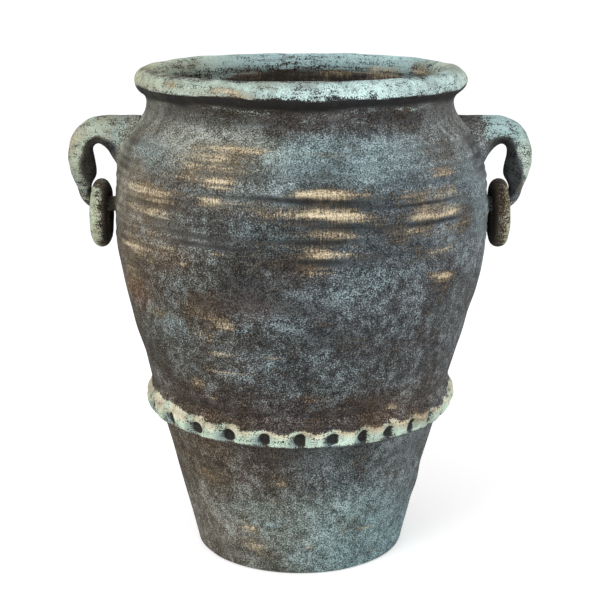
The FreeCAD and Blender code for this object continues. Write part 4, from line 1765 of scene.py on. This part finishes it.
@dataclass(frozen=True)
class Lamp:
    """A square soft box that looks at the pot's middle."""

    AIM: ClassVar[tuple[float, float, float]] = (0.0, 0.0, 0.35)

    name: str
    place: tuple[float, float, float]
    size: float
    power: float
    colour: str = "#ffffff"

    def hang(self) -> None:
        """Hang the lamp."""
        bpy.ops.object.light_add(type="AREA", location=self.place)
        lamp = bpy.context.object
        lamp.name = self.name
        lamp.data.shape = "SQUARE"
        lamp.data.size = self.size
        lamp.data.energy = self.power
        lamp.data.color = linear(self.colour)
        across, along, up = (aim - place for aim, place in zip(self.AIM, self.place))
        tilt = math.atan2(math.hypot(across, along), -up)
        turn = math.atan2(along, across) - math.pi / 2
        lamp.rotation_euler = (tilt, 0, turn)


@dataclass(frozen=True)
class Studio:
    """A pale floor, soft light and the camera where the photographer stood."""

    camera_place: tuple[float, float, float] = (0.0, -1.9018, 0.8231)
    camera_down: float = 14.38
    lens: float = 87.17
    sensor: float = 36.0
    sky_light: float = 0.64
    floor_size: float = 60.0
    floor_drop: float = 0.0005
    lamps: tuple[Lamp, ...] = field(default=(
        Lamp("key_softbox", (-1.5, -2.2, 2.3), 1.6, 42.0),
        Lamp("fill_softbox", (2.0, -2.0, 1.2), 1.8, 18.0),
    ))

    def set_floor(self) -> None:
        """Lay a wide floor under the pot."""
        pick_nothing()
        bpy.ops.mesh.primitive_plane_add(size=self.floor_size, location=(0, 0, -self.floor_drop))
        bpy.ops.object.transform_apply(location=True, rotation=False, scale=False)
        floor = named("studio_floor")
        floor.data.materials.append(StudioFloor().make())

    def set_world(self) -> None:
        """Light all round softly, with plain white behind the object."""
        world = bpy.data.worlds.new("studio_light")
        bpy.context.scene.world = world
        world.use_nodes = True
        tree = world.node_tree
        paths = add_node(tree, "ShaderNodeLightPath").outputs
        inputs = {0: paths["Is Camera Ray"], 1: paths["Is Glossy Ray"]}
        seen = add_node(tree, "ShaderNodeMath", inputs, operation="MAXIMUM").outputs[0]
        inputs = {0: seen, 1: paths["Is Transmission Ray"]}
        seen = add_node(tree, "ShaderNodeMath", inputs, operation="MAXIMUM").outputs[0]
        inputs = {"Value": seen, "To Min": self.sky_light, "To Max": 1.0}
        strength = add_node(tree, "ShaderNodeMapRange", inputs).outputs[0]
        background = tree.nodes["Background"]
        background.inputs["Color"].default_value = (1, 1, 1, 1)
        tree.links.new(strength, background.inputs["Strength"])

    def set_camera(self) -> None:
        """Stand the camera where the photograph was taken from."""
        tilt = math.radians(90 - self.camera_down)
        bpy.ops.object.camera_add(location=self.camera_place, rotation=(tilt, 0, 0))
        camera = bpy.context.object
        camera.name = "photo_camera"
        camera.data.lens = self.lens
        camera.data.sensor_width = self.sensor
        bpy.context.scene.camera = camera

    def build(self) -> None:
        """Set up floor, light and camera."""
        self.set_floor()
        self.set_world()
        for lamp in self.lamps:
            lamp.hang()
        self.set_camera()
        bpy.context.scene.view_settings.view_transform = "Standard"


def main() -> None:
    """Load the frame, make every piece in order and set the studio."""
    logging.basicConfig(level=logging.INFO, format="%(name)s: %(message)s")
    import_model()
    materials = {
        Clay.BODY: WeatheredClay("washed_earthenware").make(),
        Clay.TRIM: WeatheredClay("verdigris_washed_earthenware").make(),
    }
    makers = [maker(materials) for maker in (BaseSection, BellySection, RimRoll, ThumbBand)]
    for side in Side:
        makers += [PulledHandle(materials, side), ClayRing(materials, side)]
    for maker in makers:
        piece = maker.build()
        log.info("%s: %d faces", piece.name, len(piece.data.polygons))
    Studio().build()


if __name__ == "__main__":
    main()
